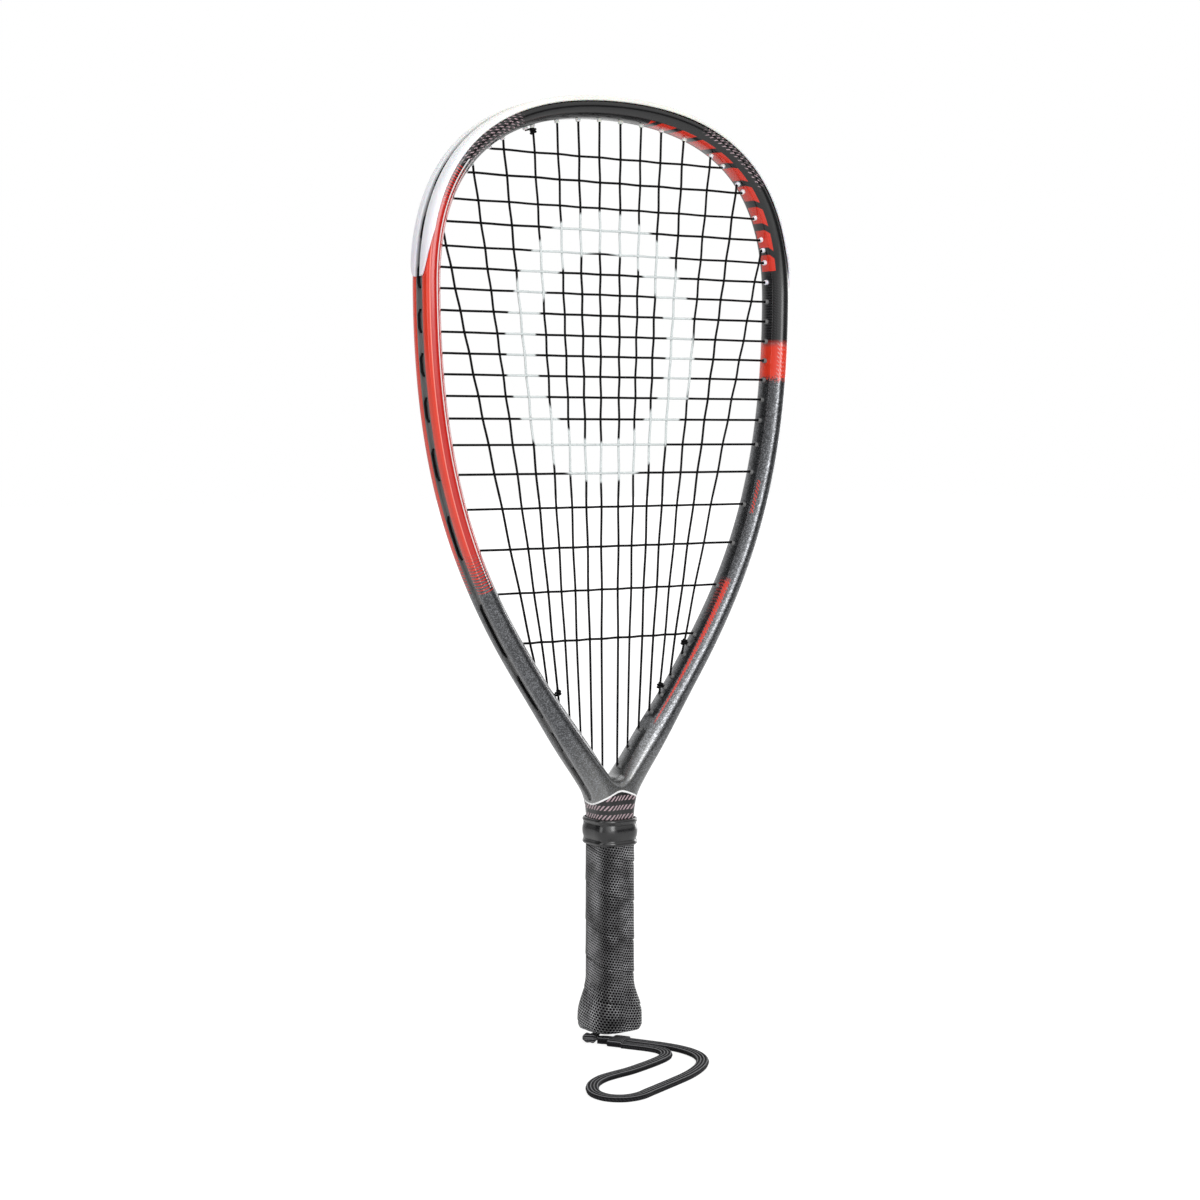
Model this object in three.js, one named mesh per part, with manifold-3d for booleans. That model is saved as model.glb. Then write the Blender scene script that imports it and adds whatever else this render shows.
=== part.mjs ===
// A racquetball racket: one hairpin-moulded tube strung through a bumper guard and two grommet strips,
// with a wrapped octagonal handle, a rubber collar, a flared butt and a wrist lanyard.
// Millimetres, +Z up the racket, strings in the XZ plane, face towards -Y. Heights are measured from
// the butt's lowest face, and the finished group is lowered so that the origin is the middle of the grip.
import * as THREE from 'three';
import { mergeVertices } from 'three/addons/utils/BufferGeometryUtils.js';
import Module from 'manifold-3d';

const wasm = await Module();
wasm.setup();

// ---- Sizes that everything shares
const racketLength = 558.8;
const gripCentreHeight = 62;
const clearance = 0.3;
const cutOverrun = 1;
const colours = {
  frame: 0x15161a, guard: 0xe8e8ee, strip: 0x77797e, string: 0x141416, pallet: 0x8d8a84,
  wrap: 0x232327, collar: 0x0b0b0c, cap: 0x18181a, staple: 0xb9bcc2, lanyard: 0x1d1d20,
};

// ---- Heights up the handle, each from the one below it
const gripTopHeight = 115.5;
const palletDrop = 3.5;
const palletTopHeight = gripTopHeight - palletDrop;
const legTopRise = 0.5;
const legTopHeight = palletTopHeight + legTopRise;
const collarLap = 1.1;
const collarFootHeight = gripTopHeight - collarLap;
const collarLength = 16.1;
const collarTopHeight = collarFootHeight + collarLength;
const collarStepRise = 0.9;
const collarStepHeight = gripTopHeight + collarStepRise;

// ---- Frame tube: its section, in the plane of the face (width) and through it (depth)
const hoopHalfWidth = 5.6;
const hoopHalfDepth = 10.5;
const flankHalfWidth = 6.1;
const flankHalfDepth = 10.8;
const throatHalfWidth = 7.7;
const throatHalfDepth = 11.4;
const neckHalfDepth = 13;
const neckLegHalfWidth = 8.3;
const handleLegHalfWidth = 3.7;
const handleLegHalfDepth = 8.5;
const grooveDepth = 2.6;
const grooveFadeLength = 4;
// The section's corners, from the outer face round to the inner one, in the neck and up in the hoop.
const neckShares = {
  outerFace: 0.47, outerBevelWidth: 0.74, outerBevelDepth: 0.82, ridgeOuter: 0.42, ridgeInner: -0.6,
  innerBevelWidth: -0.72, innerBevelDepth: 0.74, innerFace: 0.4,
};
const hoopShares = {
  outerFace: 0.62, outerBevelWidth: 0.86, outerBevelDepth: 0.84, ridgeOuter: 0.5, ridgeInner: -0.1,
  innerBevelWidth: -0.72, innerBevelDepth: 0.75, innerFace: 0.46,
};
const sharesBlendRise = 30;
// The section's points from the outer ridge round the inner side to the ridge on the other face.
const innerCorners = [4, 12];

// ---- Frame tube: its centreline, right half
const bumperCrown = 1.4;
const hoopTopHeight = racketLength - hoopHalfWidth - bumperCrown;
const hoopHalfSpan = 125.8;
const widestDrop = 114;
const widestHeight = racketLength - widestDrop;
const shoulderReach = 52.4;
const crownReach = 103.7;
const waistReach = 151;
const throatRise = 22.7;
const throatHeight = collarTopHeight + throatRise;
const throatHalfSpan = 11.75;
const throatAngle = THREE.MathUtils.degToRad(35.5);
const flankReach = 108;
const neckHalfSpan = 4.2;
const legHalfSpan = 3.5;
const legFootHeight = 30;
const neckFootRise = 5.6;
const neckFootHeight = collarFootHeight + neckFootRise;
const neckBendRise = 2;
const neckBendHeight = neckFootHeight + neckBendRise;
const flankRise = 61.8;
const flankHeight = throatHeight + flankRise;
const hoopFootRise = 70;
const hoopFootHeight = flankHeight + hoopFootRise;
const throatFilletRadius = 6;
const webDropShare = 0.9;
const neckBendReach = 13;
const throatBendReach = 12;
const stationsPerPart = { leg: 1, step: 3, neck: 5, flank: 12, crown: 11 };

// ---- String bed
const stringRadius = 0.65;
const stringSides = 4;
const weaveLift = 0.85;
const topCrossDrop = 35.4;
const topCrossHeight = racketLength - topCrossDrop;
const bottomCrossRise = 85.3;
const bottomCrossHeight = throatHeight + bottomCrossRise;
const crossDropShares = [
  0, 0.0505, 0.104, 0.1495, 0.198, 0.24, 0.282, 0.325, 0.368, 0.41, 0.452, 0.495, 0.54, 0.593, 0.6525,
  0.723, 0.806, 0.8965, 1,
];
const fanTopDrop = 58.8;
const fanTopHeight = racketLength - fanTopDrop;
const fanBottomRise = 46.8;
const fanBottomHeight = throatHeight + fanBottomRise;
const fanTopHalfSpan = 121.3;
const fanBottomHalfSpan = 47.7;
const fanTopShares = [0.0605, 0.1785, 0.295, 0.427, 0.59, 0.768, 1];
const fanBottomShares = [0.118, 0.289, 0.464, 0.625, 0.769, 0.9, 1];

// ---- Bumper guard and grommet strips
const barrelWall = 0.6;
const barrelTip = 1.2;
const barrelSides = 5;
const stringBendRise = 1;
const laneRun = 2.2;
const stripFloor = 0.7;
const stripWall = 0.55;
const laneOffset = 2 * stringRadius + clearance;
const channelHalfWidth = laneOffset + stringRadius + clearance;
const stripHalfWidth = channelHalfWidth + stripWall;
const grooveHalfWidth = stripHalfWidth + clearance;
const bumperReach = 109.8;
const bumperFootHeight = racketLength - bumperReach;
const bumperSkirtShare = 0.65;
const bumperSkin = 1.1;
const bumperTongueLength = 26;
const stripJointGap = 0.5;
const stripEndMargin = 2.6;

// ---- Knots in the strings
const knotTurns = 1.5;
const knotStepsPerTurn = 8;
const knotPitch = 1.85;
const knotStandOff = 3;
const tieHoleSpacing = 5.2;
// The index of the main string that each tail is knotted round.
const knottedMain = { mainStart: 2, mainEnd: 11, crossStart: 3, crossEnd: 13 };

// ---- Handle
const gripHalfWidth = 12.25;
const gripHalfDepth = 14;
const gripCornerCut = 5;
const gripCornerEase = 1.2;
const wrapThickness = 1.8;
const wrapPitch = 22;
const wrapSeamDepth = 0.55;
const wrapSeamHalfWidth = 0.9;
const wrapSeamFoot = 18;
const wrapFrontShare = 0.625;
const wrapFootHeight = 1.4;
const buttHalfWidth = 17.2;
const buttHalfDepth = 16.4;
const buttBulgeHeight = 10;
const flareTopHeight = 32;
const buttEdgeRadius = 4.2;
const palletFootHeight = 8;
const palletSplit = 0.3;
const capWall = 1.2;
const capFloor = 4;
const capTopHeight = 30.5;
const stapleHeight = 20;
const stapleCrown = 9;
const stapleWire = 0.9;
const stapleLeg = 4.5;

// ---- Collar
const collarWall = 1.2;
const collarBead = 0.8;
const collarBulge = 1.15;
const collarBeadHeight = 2.8;

// ---- Lanyard
const floorDrop = 6;
const lanyardWidth = 7.6;
const lanyardThickness = 3.2;
const lanyardSteps = 44;
const lanyardCornerShare = 0.5;
const lanyardHole = new THREE.Vector2(-8.5, 2);
const lanyardHoleRadius = 3;
const lanyardNeckRadius = 2.3;
const keeperCentre = new THREE.Vector2(-4, -14.9);
const keeperHeading = THREE.MathUtils.degToRad(-58.7);
const keeperLength = 9;
const keeperWall = 0.6;
const strandGap = 0.6;
const tailThickness = 4.2;
const knotCentre = new THREE.Vector2(-15.4, -1.2);
const knotHalfLength = 4.6;
const knotHalfWidth = 3.9;
const knotHalfHeight = 3.1;
// The cord's middle line on the surface that it lies on, from the keeper round and back to it.
const lanyardRoute = [
  [-5.4, -21.3], [-2.4, -26.4], [0.6, -31.4], [3.4, -36.6], [5.6, -43.3], [4.8, -50], [1.5, -55.3],
  [-3.6, -58.9], [-13.4, -63], [-24.6, -66.6], [-35.6, -69.6], [-46.5, -71.2], [-57, -73.6],
  [-66.8, -79.4], [-74, -88], [-77.6, -97], [-76.2, -106.2], [-69.8, -112.2], [-60.6, -113.4],
  [-49.6, -109.8], [-38, -105.6], [-26.6, -101.4], [-15.4, -97], [-5, -91.6], [4.4, -85],
  [12.2, -76.6], [17, -66.6], [18.2, -56], [16.6, -46], [13, -36.6], [8.8, -28.4], [2.2, -16.7],
];

const material = (color, roughness, metalness) =>
  new THREE.MeshStandardMaterial({ color, roughness, metalness });
const smooth = THREE.MathUtils.smoothstep;
const mix = THREE.MathUtils.lerp;
const racket = new THREE.Group();
racket.position.z = -gripCentreHeight;

// A closed mesh from rings of points with the same count, capped at both ends.
function loft(rings) {
  const sides = rings[0].length;
  const positions = rings.flat().flatMap((point) => [point.x, point.y, point.z]);
  const index = [];
  for (let ring = 0; ring + 1 < rings.length; ring++) {
    for (let side = 0; side < sides; side++) {
      const next = (side + 1) % sides;
      const low = ring * sides;
      const high = low + sides;
      index.push(low + side, low + next, high + next, low + side, high + next, high + side);
    }
  }
  const flat = flattened(rings[0]);
  const last = (rings.length - 1) * sides;
  for (const [a, b, c] of THREE.ShapeUtils.triangulateShape(flat, [])) {
    index.push(c, b, a);
  }
  for (const [a, b, c] of THREE.ShapeUtils.triangulateShape(flattened(rings.at(-1)), [])) {
    index.push(last + a, last + b, last + c);
  }
  const geometry = new THREE.BufferGeometry();
  geometry.setAttribute('position', new THREE.Float32BufferAttribute(positions, 3));
  geometry.setIndex(index);
  return outward(geometry);
}

// A flat ring's points in two axes of its own plane, in the ring's own turning sense.
function flattened(ring) {
  const normal = new THREE.Vector3();
  ring.forEach((point, i) => {
    normal.add(new THREE.Vector3().crossVectors(point, ring[(i + 1) % ring.length]));
  });
  normal.normalize();
  const across = new THREE.Vector3().subVectors(ring[1], ring[0]).normalize();
  const along = new THREE.Vector3().crossVectors(normal, across);
  return ring.map((point) => new THREE.Vector2(point.dot(across), point.dot(along)));
}

// Turns a mesh's faces the right way round when it was wound inwards.
function outward(geometry) {
  const position = geometry.getAttribute('position');
  const index = geometry.index.array;
  const corner = [new THREE.Vector3(), new THREE.Vector3(), new THREE.Vector3()];
  let volume = 0;
  for (let i = 0; i < index.length; i += 3) {
    corner.forEach((point, k) => point.fromBufferAttribute(position, index[i + k]));
    volume += corner[0].dot(corner[1].cross(corner[2]));
  }
  if (volume < 0) {
    for (let i = 0; i < index.length; i += 3) {
      [index[i], index[i + 1]] = [index[i + 1], index[i]];
    }
  }
  return geometry;
}

function solidOf(geometry) {
  const bare = geometry.clone();
  bare.deleteAttribute('normal');
  bare.deleteAttribute('uv');
  const merged = mergeVertices(bare);
  return new wasm.Manifold(new wasm.Mesh({
    numProp: 3,
    vertProperties: new Float32Array(merged.getAttribute('position').array),
    triVerts: new Uint32Array(merged.index.array),
  }));
}

function geometryOf(solid) {
  const mesh = solid.getMesh();
  const geometry = new THREE.BufferGeometry();
  geometry.setAttribute('position', new THREE.BufferAttribute(mesh.vertProperties, 3));
  geometry.setIndex(new THREE.BufferAttribute(mesh.triVerts, 1));
  return geometry;
}

function mirrored(geometry) {
  const copy = geometry.clone();
  copy.scale(-1, 1, 1);
  return outward(copy);
}

const joined = (solids) => solids.reduce((whole, solid) => whole.add(solid));

function piece(name, shape, look) {
  const geometry = shape.isBufferGeometry ? shape : geometryOf(shape);
  geometry.computeVertexNormals();
  const mesh = new THREE.Mesh(geometry, look);
  mesh.name = name;
  racket.add(mesh);
}

// ---- The tube's centreline: stations from the leg's foot to the middle of the crown
const legLine = new THREE.LineCurve(
  new THREE.Vector2(legHalfSpan, legFootHeight), new THREE.Vector2(legHalfSpan, legTopHeight));
const stepLine = new THREE.LineCurve(
  new THREE.Vector2(legHalfSpan, legTopHeight), new THREE.Vector2(neckHalfSpan, neckBendHeight));
const throatHeading = new THREE.Vector2(Math.sin(throatAngle), Math.cos(throatAngle));
const throatPoint = new THREE.Vector2(throatHalfSpan, throatHeight);
const neckCurve = new THREE.CubicBezierCurve(
  new THREE.Vector2(neckHalfSpan, neckBendHeight),
  new THREE.Vector2(neckHalfSpan, neckBendHeight + neckBendReach),
  throatPoint.clone().addScaledVector(throatHeading, -throatBendReach),
  throatPoint);
const flankCurve = new THREE.CubicBezierCurve(
  throatPoint,
  throatPoint.clone().addScaledVector(throatHeading, flankReach),
  new THREE.Vector2(hoopHalfSpan, widestHeight - waistReach),
  new THREE.Vector2(hoopHalfSpan, widestHeight));
const crownCurve = new THREE.CubicBezierCurve(
  new THREE.Vector2(hoopHalfSpan, widestHeight),
  new THREE.Vector2(hoopHalfSpan, widestHeight + shoulderReach),
  new THREE.Vector2(crownReach, hoopTopHeight),
  new THREE.Vector2(0, hoopTopHeight));

// Half width and half depth of the tube by height, easing from each level to the next.
const levels = [
  [legFootHeight, handleLegHalfWidth, handleLegHalfDepth],
  [legTopHeight, handleLegHalfWidth, handleLegHalfDepth],
  [neckFootHeight, neckLegHalfWidth, neckHalfDepth],
  [neckBendHeight + neckBendReach, neckLegHalfWidth, neckHalfDepth],
  [throatHeight + throatBendReach, throatHalfWidth, throatHalfDepth],
  [flankHeight, flankHalfWidth, flankHalfDepth],
  [hoopFootHeight, hoopHalfWidth, hoopHalfDepth],
  [hoopTopHeight, hoopHalfWidth, hoopHalfDepth],
];
function sizeAt(height) {
  const above = Math.max(1, levels.findIndex((level) => level[0] >= height - clearance));
  const [lowAt, lowWidth, lowDepth] = levels[above - 1];
  const [highAt, highWidth, highDepth] = levels[above];
  const share = smooth(height, lowAt, highAt);
  return { width: mix(lowWidth, highWidth, share), depth: mix(lowDepth, highDepth, share) };
}

// The section's corners at a height, easing from the neck's to the hoop's as the legs part.
function sharesAt(height) {
  const blend = smooth(height, neckBendHeight + neckBendReach, throatHeight + sharesBlendRise);
  return Object.fromEntries(Object.entries(neckShares).map(
    ([name, share]) => [name, mix(share, hoopShares[name], blend)]));
}

const stations = [];
function addStations(curve, count) {
  for (let i = stations.length ? 1 : 0; i <= count; i++) {
    const centre = curve.getPointAt(i / count);
    const heading = curve.getTangentAt(i / count);
    const size = sizeAt(centre.y);
    const groove = grooveDepth * smooth(centre.y, throatHeight - grooveFadeLength, throatHeight);
    const out = new THREE.Vector2(heading.y, -heading.x);
    stations.push({ centre, out, groove, share: sharesAt(centre.y), ...size });
  }
}
addStations(legLine, stationsPerPart.leg);
addStations(stepLine, stationsPerPart.step);
addStations(neckCurve, stationsPerPart.neck);
addStations(flankCurve, stationsPerPart.flank);
addStations(crownCurve, stationsPerPart.crown);
stations.at(-1).out.set(0, 1);

// A place on the tube: at is a station number with its share of the way to the next one.
function sizesAt(at) {
  const low = Math.min(Math.floor(at), stations.length - 2);
  const share = at - low;
  const [a, b] = [stations[low], stations[low + 1]];
  return {
    width: mix(a.width, b.width, share), depth: mix(a.depth, b.depth, share),
    groove: mix(a.groove, b.groove, share),
  };
}
function place(at, out, y) {
  const low = Math.min(Math.floor(at), stations.length - 2);
  const share = at - low;
  const ends = [stations[low], stations[low + 1]].map(
    (station) => station.centre.clone().addScaledVector(station.out, out));
  const middle = ends[0].lerp(ends[1], share);
  return new THREE.Vector3(middle.x, y, middle.y);
}
const innerFaceOut = (at) => -sizesAt(at).width;
const floorOut = (at) => sizesAt(at).width - sizesAt(at).groove + clearance + stripFloor;
const bendOut = (at) => innerFaceOut(at) - barrelTip - stringBendRise;
const bendPoint = (at) => place(at, bendOut(at), 0);
const throatStation = stationsPerPart.leg + stationsPerPart.step + stationsPerPart.neck;

function tubeSection({ width, depth, groove, share }, at) {
  const floorHalfWidth = grooveHalfWidth - clearance * (1 - groove / grooveDepth);
  const half = [
    [width - groove, floorHalfWidth],
    [width, grooveHalfWidth],
    [width, depth * share.outerFace],
    [width * share.outerBevelWidth, depth * share.outerBevelDepth],
    [width * share.ridgeOuter, depth],
    [width * share.ridgeInner, depth],
    [width * share.innerBevelWidth, depth * share.innerBevelDepth],
    [-width, depth * share.innerFace],
  ];
  return bothSides(half).map(([out, y]) => place(at, out, y));
}
// A half outline for +y, and its mirror image back again.
function bothSides(half) {
  return [...half, ...half.toReversed().map(([out, y]) => [out, -y])];
}

const halfTube = loft(stations.map((station, at) => tubeSection(station, at)));

// ---- The web in the throat: the tube's section carried round the crotch between the two legs
function wallDistance(point) {
  let best = { distance: Infinity };
  stations.forEach((station, at) => {
    if (station.centre.y < throatHeight - throatBendReach || station.centre.y > flankHeight) {
      return;
    }
    const distance = station.centre.distanceTo(point) - station.width;
    if (distance < best.distance) {
      best = { distance, at, station };
    }
  });
  return best;
}
function throatWeb() {
  const centre = new THREE.Vector2(0, throatHeight);
  const step = clearance / 3;
  while (wallDistance(centre).distance < throatFilletRadius) {
    centre.y += step;
  }
  const { station } = wallDistance(centre);
  const toWall = station.centre.clone().sub(centre);
  const reach = Math.atan2(toWall.x, -toWall.y);
  const turns = stationsPerPart.neck;
  const rings = [];
  for (let i = 0; i <= turns; i++) {
    const angle = mix(-reach, reach, i / turns);
    const down = new THREE.Vector2(Math.sin(angle), -Math.cos(angle));
    const { width, share } = station;
    const aside = (angle / reach) ** 2;
    const half = [
      [width * mix(webDropShare, share.ridgeOuter, aside), 1],
      [width * share.ridgeInner, 1],
      [width * share.innerBevelWidth, share.innerBevelDepth],
      [-width, share.innerFace],
    ];
    rings.push(bothSides(half).map(([out, depthShare]) => {
      const spot = centre.clone().addScaledVector(down, throatFilletRadius + width + out);
      return new THREE.Vector3(spot.x, depthShare * sizeAt(spot.y).depth, spot.y);
    }));
  }
  return loft(rings);
}

// ---- The filling between the legs below the web: the neck's front and back run flat from leg to leg
function neckFilling() {
  const first = stationsPerPart.leg + stationsPerPart.step;
  const slices = [];
  for (let at = first; at < throatStation; at++) {
    const corners = [at, at + 1].flatMap((i) => tubeSection(stations[i], i).slice(...innerCorners));
    slices.push(wasm.Manifold.hull(corners.flatMap(({ x, y, z }) => [[x, y, z], [-x, y, z]])));
  }
  return joined(slices);
}

// ---- Where the strings run: straight lines across the face, and holes where they meet the tube
const crossHeights = crossDropShares.map(
  (share) => mix(topCrossHeight, bottomCrossHeight, share));
const mainLines = fanTopShares.map((share, i) => {
  const low = new THREE.Vector2(fanBottomShares[i] * fanBottomHalfSpan, fanBottomHeight);
  const high = new THREE.Vector2(share * fanTopHalfSpan, fanTopHeight);
  return { low, heading: high.clone().sub(low).normalize() };
});
function whereCrossed(low, heading, fromTop) {
  const aside = (at) => {
    const point = bendPoint(at);
    return (point.x - low.x) * heading.y - (point.z - low.y) * heading.x;
  };
  const found = [];
  const steps = 40;
  for (let i = throatStation * steps; i < (stations.length - 1) * steps; i++) {
    const [a, b] = [i / steps, (i + 1) / steps];
    if (aside(a) * aside(b) <= 0) {
      let [near, far] = [a, b];
      for (let k = 0; k < steps / 2; k++) {
        const middle = (near + far) / 2;
        [near, far] = aside(near) * aside(middle) <= 0 ? [near, middle] : [middle, far];
      }
      found.push((near + far) / 2);
    }
  }
  return fromTop ? found.at(-1) : found[0];
}
const mainTops = mainLines.map(({ low, heading }) => whereCrossed(low, heading, true));
const mainFeet = mainLines.map(({ low, heading }) => whereCrossed(low, heading, false));
const crossEnds = crossHeights.map(
  (height) => whereCrossed(new THREE.Vector2(0, height), new THREE.Vector2(1, 0), true));

// Station shares a given length further down the tube.
function alongTube(at, length) {
  const step = 1 / 50;
  let here = at;
  let gone = 0;
  while (Math.abs(gone) < Math.abs(length)) {
    const next = here - Math.sign(length) * step;
    gone += Math.sign(length) * place(here, 0, 0).distanceTo(place(next, 0, 0));
    here = next;
  }
  return here;
}
const tieHoleY = grooveHalfWidth - clearance - stringRadius - clearance - barrelWall - stripWall / 2;
const tieHoles = {
  crossStart: { at: alongTube(mainTops[3], tieHoleSpacing), side: -1 },
  crossEnd: { at: (crossEnds.at(-1) + mainFeet[6]) / 2, side: 1 },
  mainStart: { at: alongTube(mainFeet[4], -tieHoleSpacing), side: -1 },
  mainEnd: { at: alongTube(mainFeet[4], -tieHoleSpacing), side: 1 },
};
const plainHoles = [...mainTops, ...mainFeet, ...crossEnds];
const holes = [-1, 1].flatMap((side) => [
  ...plainHoles.map((at) => ({ at, side, y: 0 })),
  ...Object.values(tieHoles).filter((hole) => hole.side === side).map((hole) => ({ ...hole, y: tieHoleY })),
]);

// A many-sided prism through the tube's wall, from one depth to another.
function prism({ at, side, y }, radius, fromOut, toOut) {
  const start = place(at, fromOut, y);
  const end = place(at, toOut, y);
  const drill = new THREE.Vector3().subVectors(end, start).normalize();
  const across = new THREE.Vector3(0, 1, 0);
  const along = new THREE.Vector3().crossVectors(drill, across);
  const ring = (centre) => Array.from({ length: barrelSides }, (_, i) => {
    const angle = (i / barrelSides) * 2 * Math.PI;
    return centre.clone().addScaledVector(across, radius * Math.cos(angle))
      .addScaledVector(along, radius * Math.sin(angle));
  });
  const geometry = loft([ring(start), ring(end)]);
  return solidOf(side < 0 ? mirrored(geometry) : geometry);
}
const cornerOf = (flat) => flat / Math.cos(Math.PI / barrelSides);
const boreRadius = cornerOf(stringRadius + clearance);
const barrelRadius = boreRadius + barrelWall;
const holeRadius = barrelRadius + cornerOf(clearance);

const drilled = joined([
  solidOf(halfTube), solidOf(mirrored(halfTube)), solidOf(throatWeb()), neckFilling(),
]).subtract(joined(holes.map((hole) => {
  const { width } = sizesAt(hole.at);
  return prism(hole, holeRadius, width + cutOverrun, -width - cutOverrun);
})));
piece('frame', drilled, material(colours.frame, 0.3, 0.2));

// ---- Bumper guard and grommet strips: a channel in the groove, with a barrel at every hole
const barrels = (own) => joined(own.map((hole) => prism(
  hole, barrelRadius, floorOut(hole.at) - stripFloor / 2, innerFaceOut(hole.at) - barrelTip)));
const bores = (own) => joined(own.map((hole) => prism(
  hole, boreRadius, floorOut(hole.at) + cutOverrun, innerFaceOut(hole.at) - barrelTip - cutOverrun)));
function stationAtHeight(height) {
  const above = stations.findIndex((station) => station.centre.y > height);
  const [a, b] = [stations[above - 1].centre.y, stations[above].centre.y];
  return above - 1 + (height - a) / (b - a);
}
const bumperFoot = stationAtHeight(bumperFootHeight);
const stripTop = stationAtHeight(bumperFootHeight - stripJointGap);
const lowestHole = Math.min(...mainFeet);
const stripFoot = Math.max(alongTube(lowestHole, stripEndMargin), throatStation);
function between(from, to) {
  const inner = stations.map((_, at) => at).filter((at) => at > from && at < to);
  return [from, ...inner, to];
}
// Where the guard's skin lies: up the outer face, round the corner and some way up the bevel beyond it.
function skirtPath(at) {
  const { width, depth } = sizesAt(at);
  const share = sharesAt(place(at, 0, 0).z);
  const corner = new THREE.Vector2(width * share.outerBevelWidth, depth * share.outerBevelDepth);
  const ridge = new THREE.Vector2(width * share.ridgeOuter, depth);
  const knees = [
    new THREE.Vector2(width, stripHalfWidth + clearance), new THREE.Vector2(width, depth * share.outerFace),
    corner, corner.clone().lerp(ridge, bumperSkirtShare),
  ];
  const normals = knees.slice(1).map((knee, i) => {
    const run = knee.clone().sub(knees[i]).normalize();
    return new THREE.Vector2(run.y, -run.x);
  });
  const reaches = [0];
  normals.forEach((_, i) => reaches.push(reaches[i] + knees[i].distanceTo(knees[i + 1])));
  return { knees, normals, reaches };
}
// The point that lies a length along the skirt's path, lifted off it by a height.
function onSkirt({ knees, normals, reaches }, length, lift) {
  const part = Math.max(0, reaches.findIndex((reach) => reach >= length - clearance / 10) - 1);
  const share = (length - reaches[part]) / (reaches[part + 1] - reaches[part]);
  const point = knees[part].clone().lerp(knees[part + 1], share);
  const here = normals[part];
  const next = normals[part + 1] ?? here;
  const atKnee = Math.abs(length - reaches[part + 1]) < clearance / 10;
  const away = atKnee ? here.clone().add(next).divideScalar(1 + here.dot(next)) : here;
  return point.addScaledVector(away, lift).toArray();
}
function bumperSection(at) {
  const { width, groove } = sizesAt(at);
  const path = skirtPath(at);
  const fromEnd = place(at, 0, 0).distanceTo(place(bumperFoot, 0, 0));
  const cover = path.reaches[3] * Math.sqrt(Math.min(1, fromEnd / bumperTongueLength));
  const first = Math.min(cover, path.reaches[1]);
  const second = Math.max(first + clearance, Math.min(cover, path.reaches[2]));
  const third = Math.max(second + clearance, cover);
  const lengths = [first, second, third];
  const half = [
    [width - groove + clearance + stripFloor, channelHalfWidth],
    [width + bumperCrown, channelHalfWidth],
    ...lengths.map((length) => onSkirt(path, length, clearance + bumperSkin)),
    ...lengths.toReversed().map((length) => onSkirt(path, length, clearance)),
    [width + clearance, stripHalfWidth],
    [width - groove + clearance, stripHalfWidth],
  ];
  return bothSides(half);
}
function stripSection(at) {
  const { width, groove } = sizesAt(at);
  const half = [
    [width - groove + clearance + stripFloor, channelHalfWidth],
    [width, channelHalfWidth],
    [width, stripHalfWidth],
    [width - groove + clearance, stripHalfWidth],
  ];
  return bothSides(half);
}
// The guard starts as a tongue, which reaches each knee of the skirt's path before it goes round it.
const { reaches: footReaches } = skirtPath(bumperFoot);
const tongueStations = footReaches.slice(1, 3).map(
  (reach) => alongTube(bumperFoot, -bumperTongueLength * (reach / footReaches[3]) ** 2));
const guardStations = [...between(bumperFoot, stations.length - 1), ...tongueStations];
guardStations.sort((a, b) => a - b);
const halfGuard = loft(guardStations.map(
  (at) => bumperSection(at).map(([out, y]) => place(at, out, y))));
const guardHoles = holes.filter((hole) => hole.at > bumperFoot);
piece('bumper_guard',
  joined([solidOf(halfGuard), solidOf(mirrored(halfGuard)), barrels(guardHoles)])
    .subtract(bores(guardHoles)),
  material(colours.guard, 0.4, 0));
const halfStrip = loft(between(stripFoot, stripTop).map(
  (at) => stripSection(at).map(([out, y]) => place(at, out, y))));
for (const [name, side] of [['left_grommet_strip', -1], ['right_grommet_strip', 1]]) {
  const own = holes.filter((hole) => hole.side === side && hole.at < bumperFoot);
  const strip = solidOf(side < 0 ? mirrored(halfStrip) : halfStrip);
  piece(name, strip.add(barrels(own)).subtract(bores(own)), material(colours.strip, 0.5, 0));
}

// ---- Strings
// A tube through points: every stretch a prism, mitred into the next one.
function mitredTube(points, radius, sides) {
  const headings = points.slice(1).map((point, i) => point.clone().sub(points[i]).normalize());
  const across = new THREE.Vector3(0, 1, 0).addScaledVector(headings[0], -headings[0].y).normalize();
  const along = new THREE.Vector3().crossVectors(headings[0], across);
  let ring = Array.from({ length: sides }, (_, i) => {
    const angle = ((i + 0.5) / sides) * 2 * Math.PI;
    return points[0].clone().addScaledVector(across, radius * Math.cos(angle))
      .addScaledVector(along, radius * Math.sin(angle));
  });
  const rings = [ring];
  for (let i = 1; i < points.length; i++) {
    const before = headings[i - 1];
    const plane = before.clone().add(headings[i] ?? before).normalize();
    ring = ring.map((corner) => {
      const gap = points[i].clone().sub(corner).dot(plane) / before.dot(plane);
      return corner.clone().addScaledVector(before, gap);
    });
    rings.push(ring);
  }
  return loft(rings);
}
const sided = (point, side) => new THREE.Vector3(side * point.x, point.y, point.z);
const laneOut = (at) => floorOut(at) + clearance + stringRadius;
// Points from the groove through a hole to the bend at its barrel's tip.
const throughHole = (at, side, y) => [
  sided(place(at, laneOut(at), y), side), sided(place(at, bendOut(at), y), side),
];
// Points in the groove between two holes, in the lane at y.
function inGroove(from, to, side, y) {
  const way = Math.sign(to - from);
  const ends = [alongTube(from, -way * laneRun), alongTube(to, way * laneRun)];
  const run = stations.map((_, at) => at)
    .filter((at) => at > Math.min(...ends) && at < Math.max(...ends));
  if (to < from) {
    run.reverse();
  }
  return [ends[0], ...run, ends[1]].map((at) => sided(place(at, laneOut(at), y), side));
}
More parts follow.
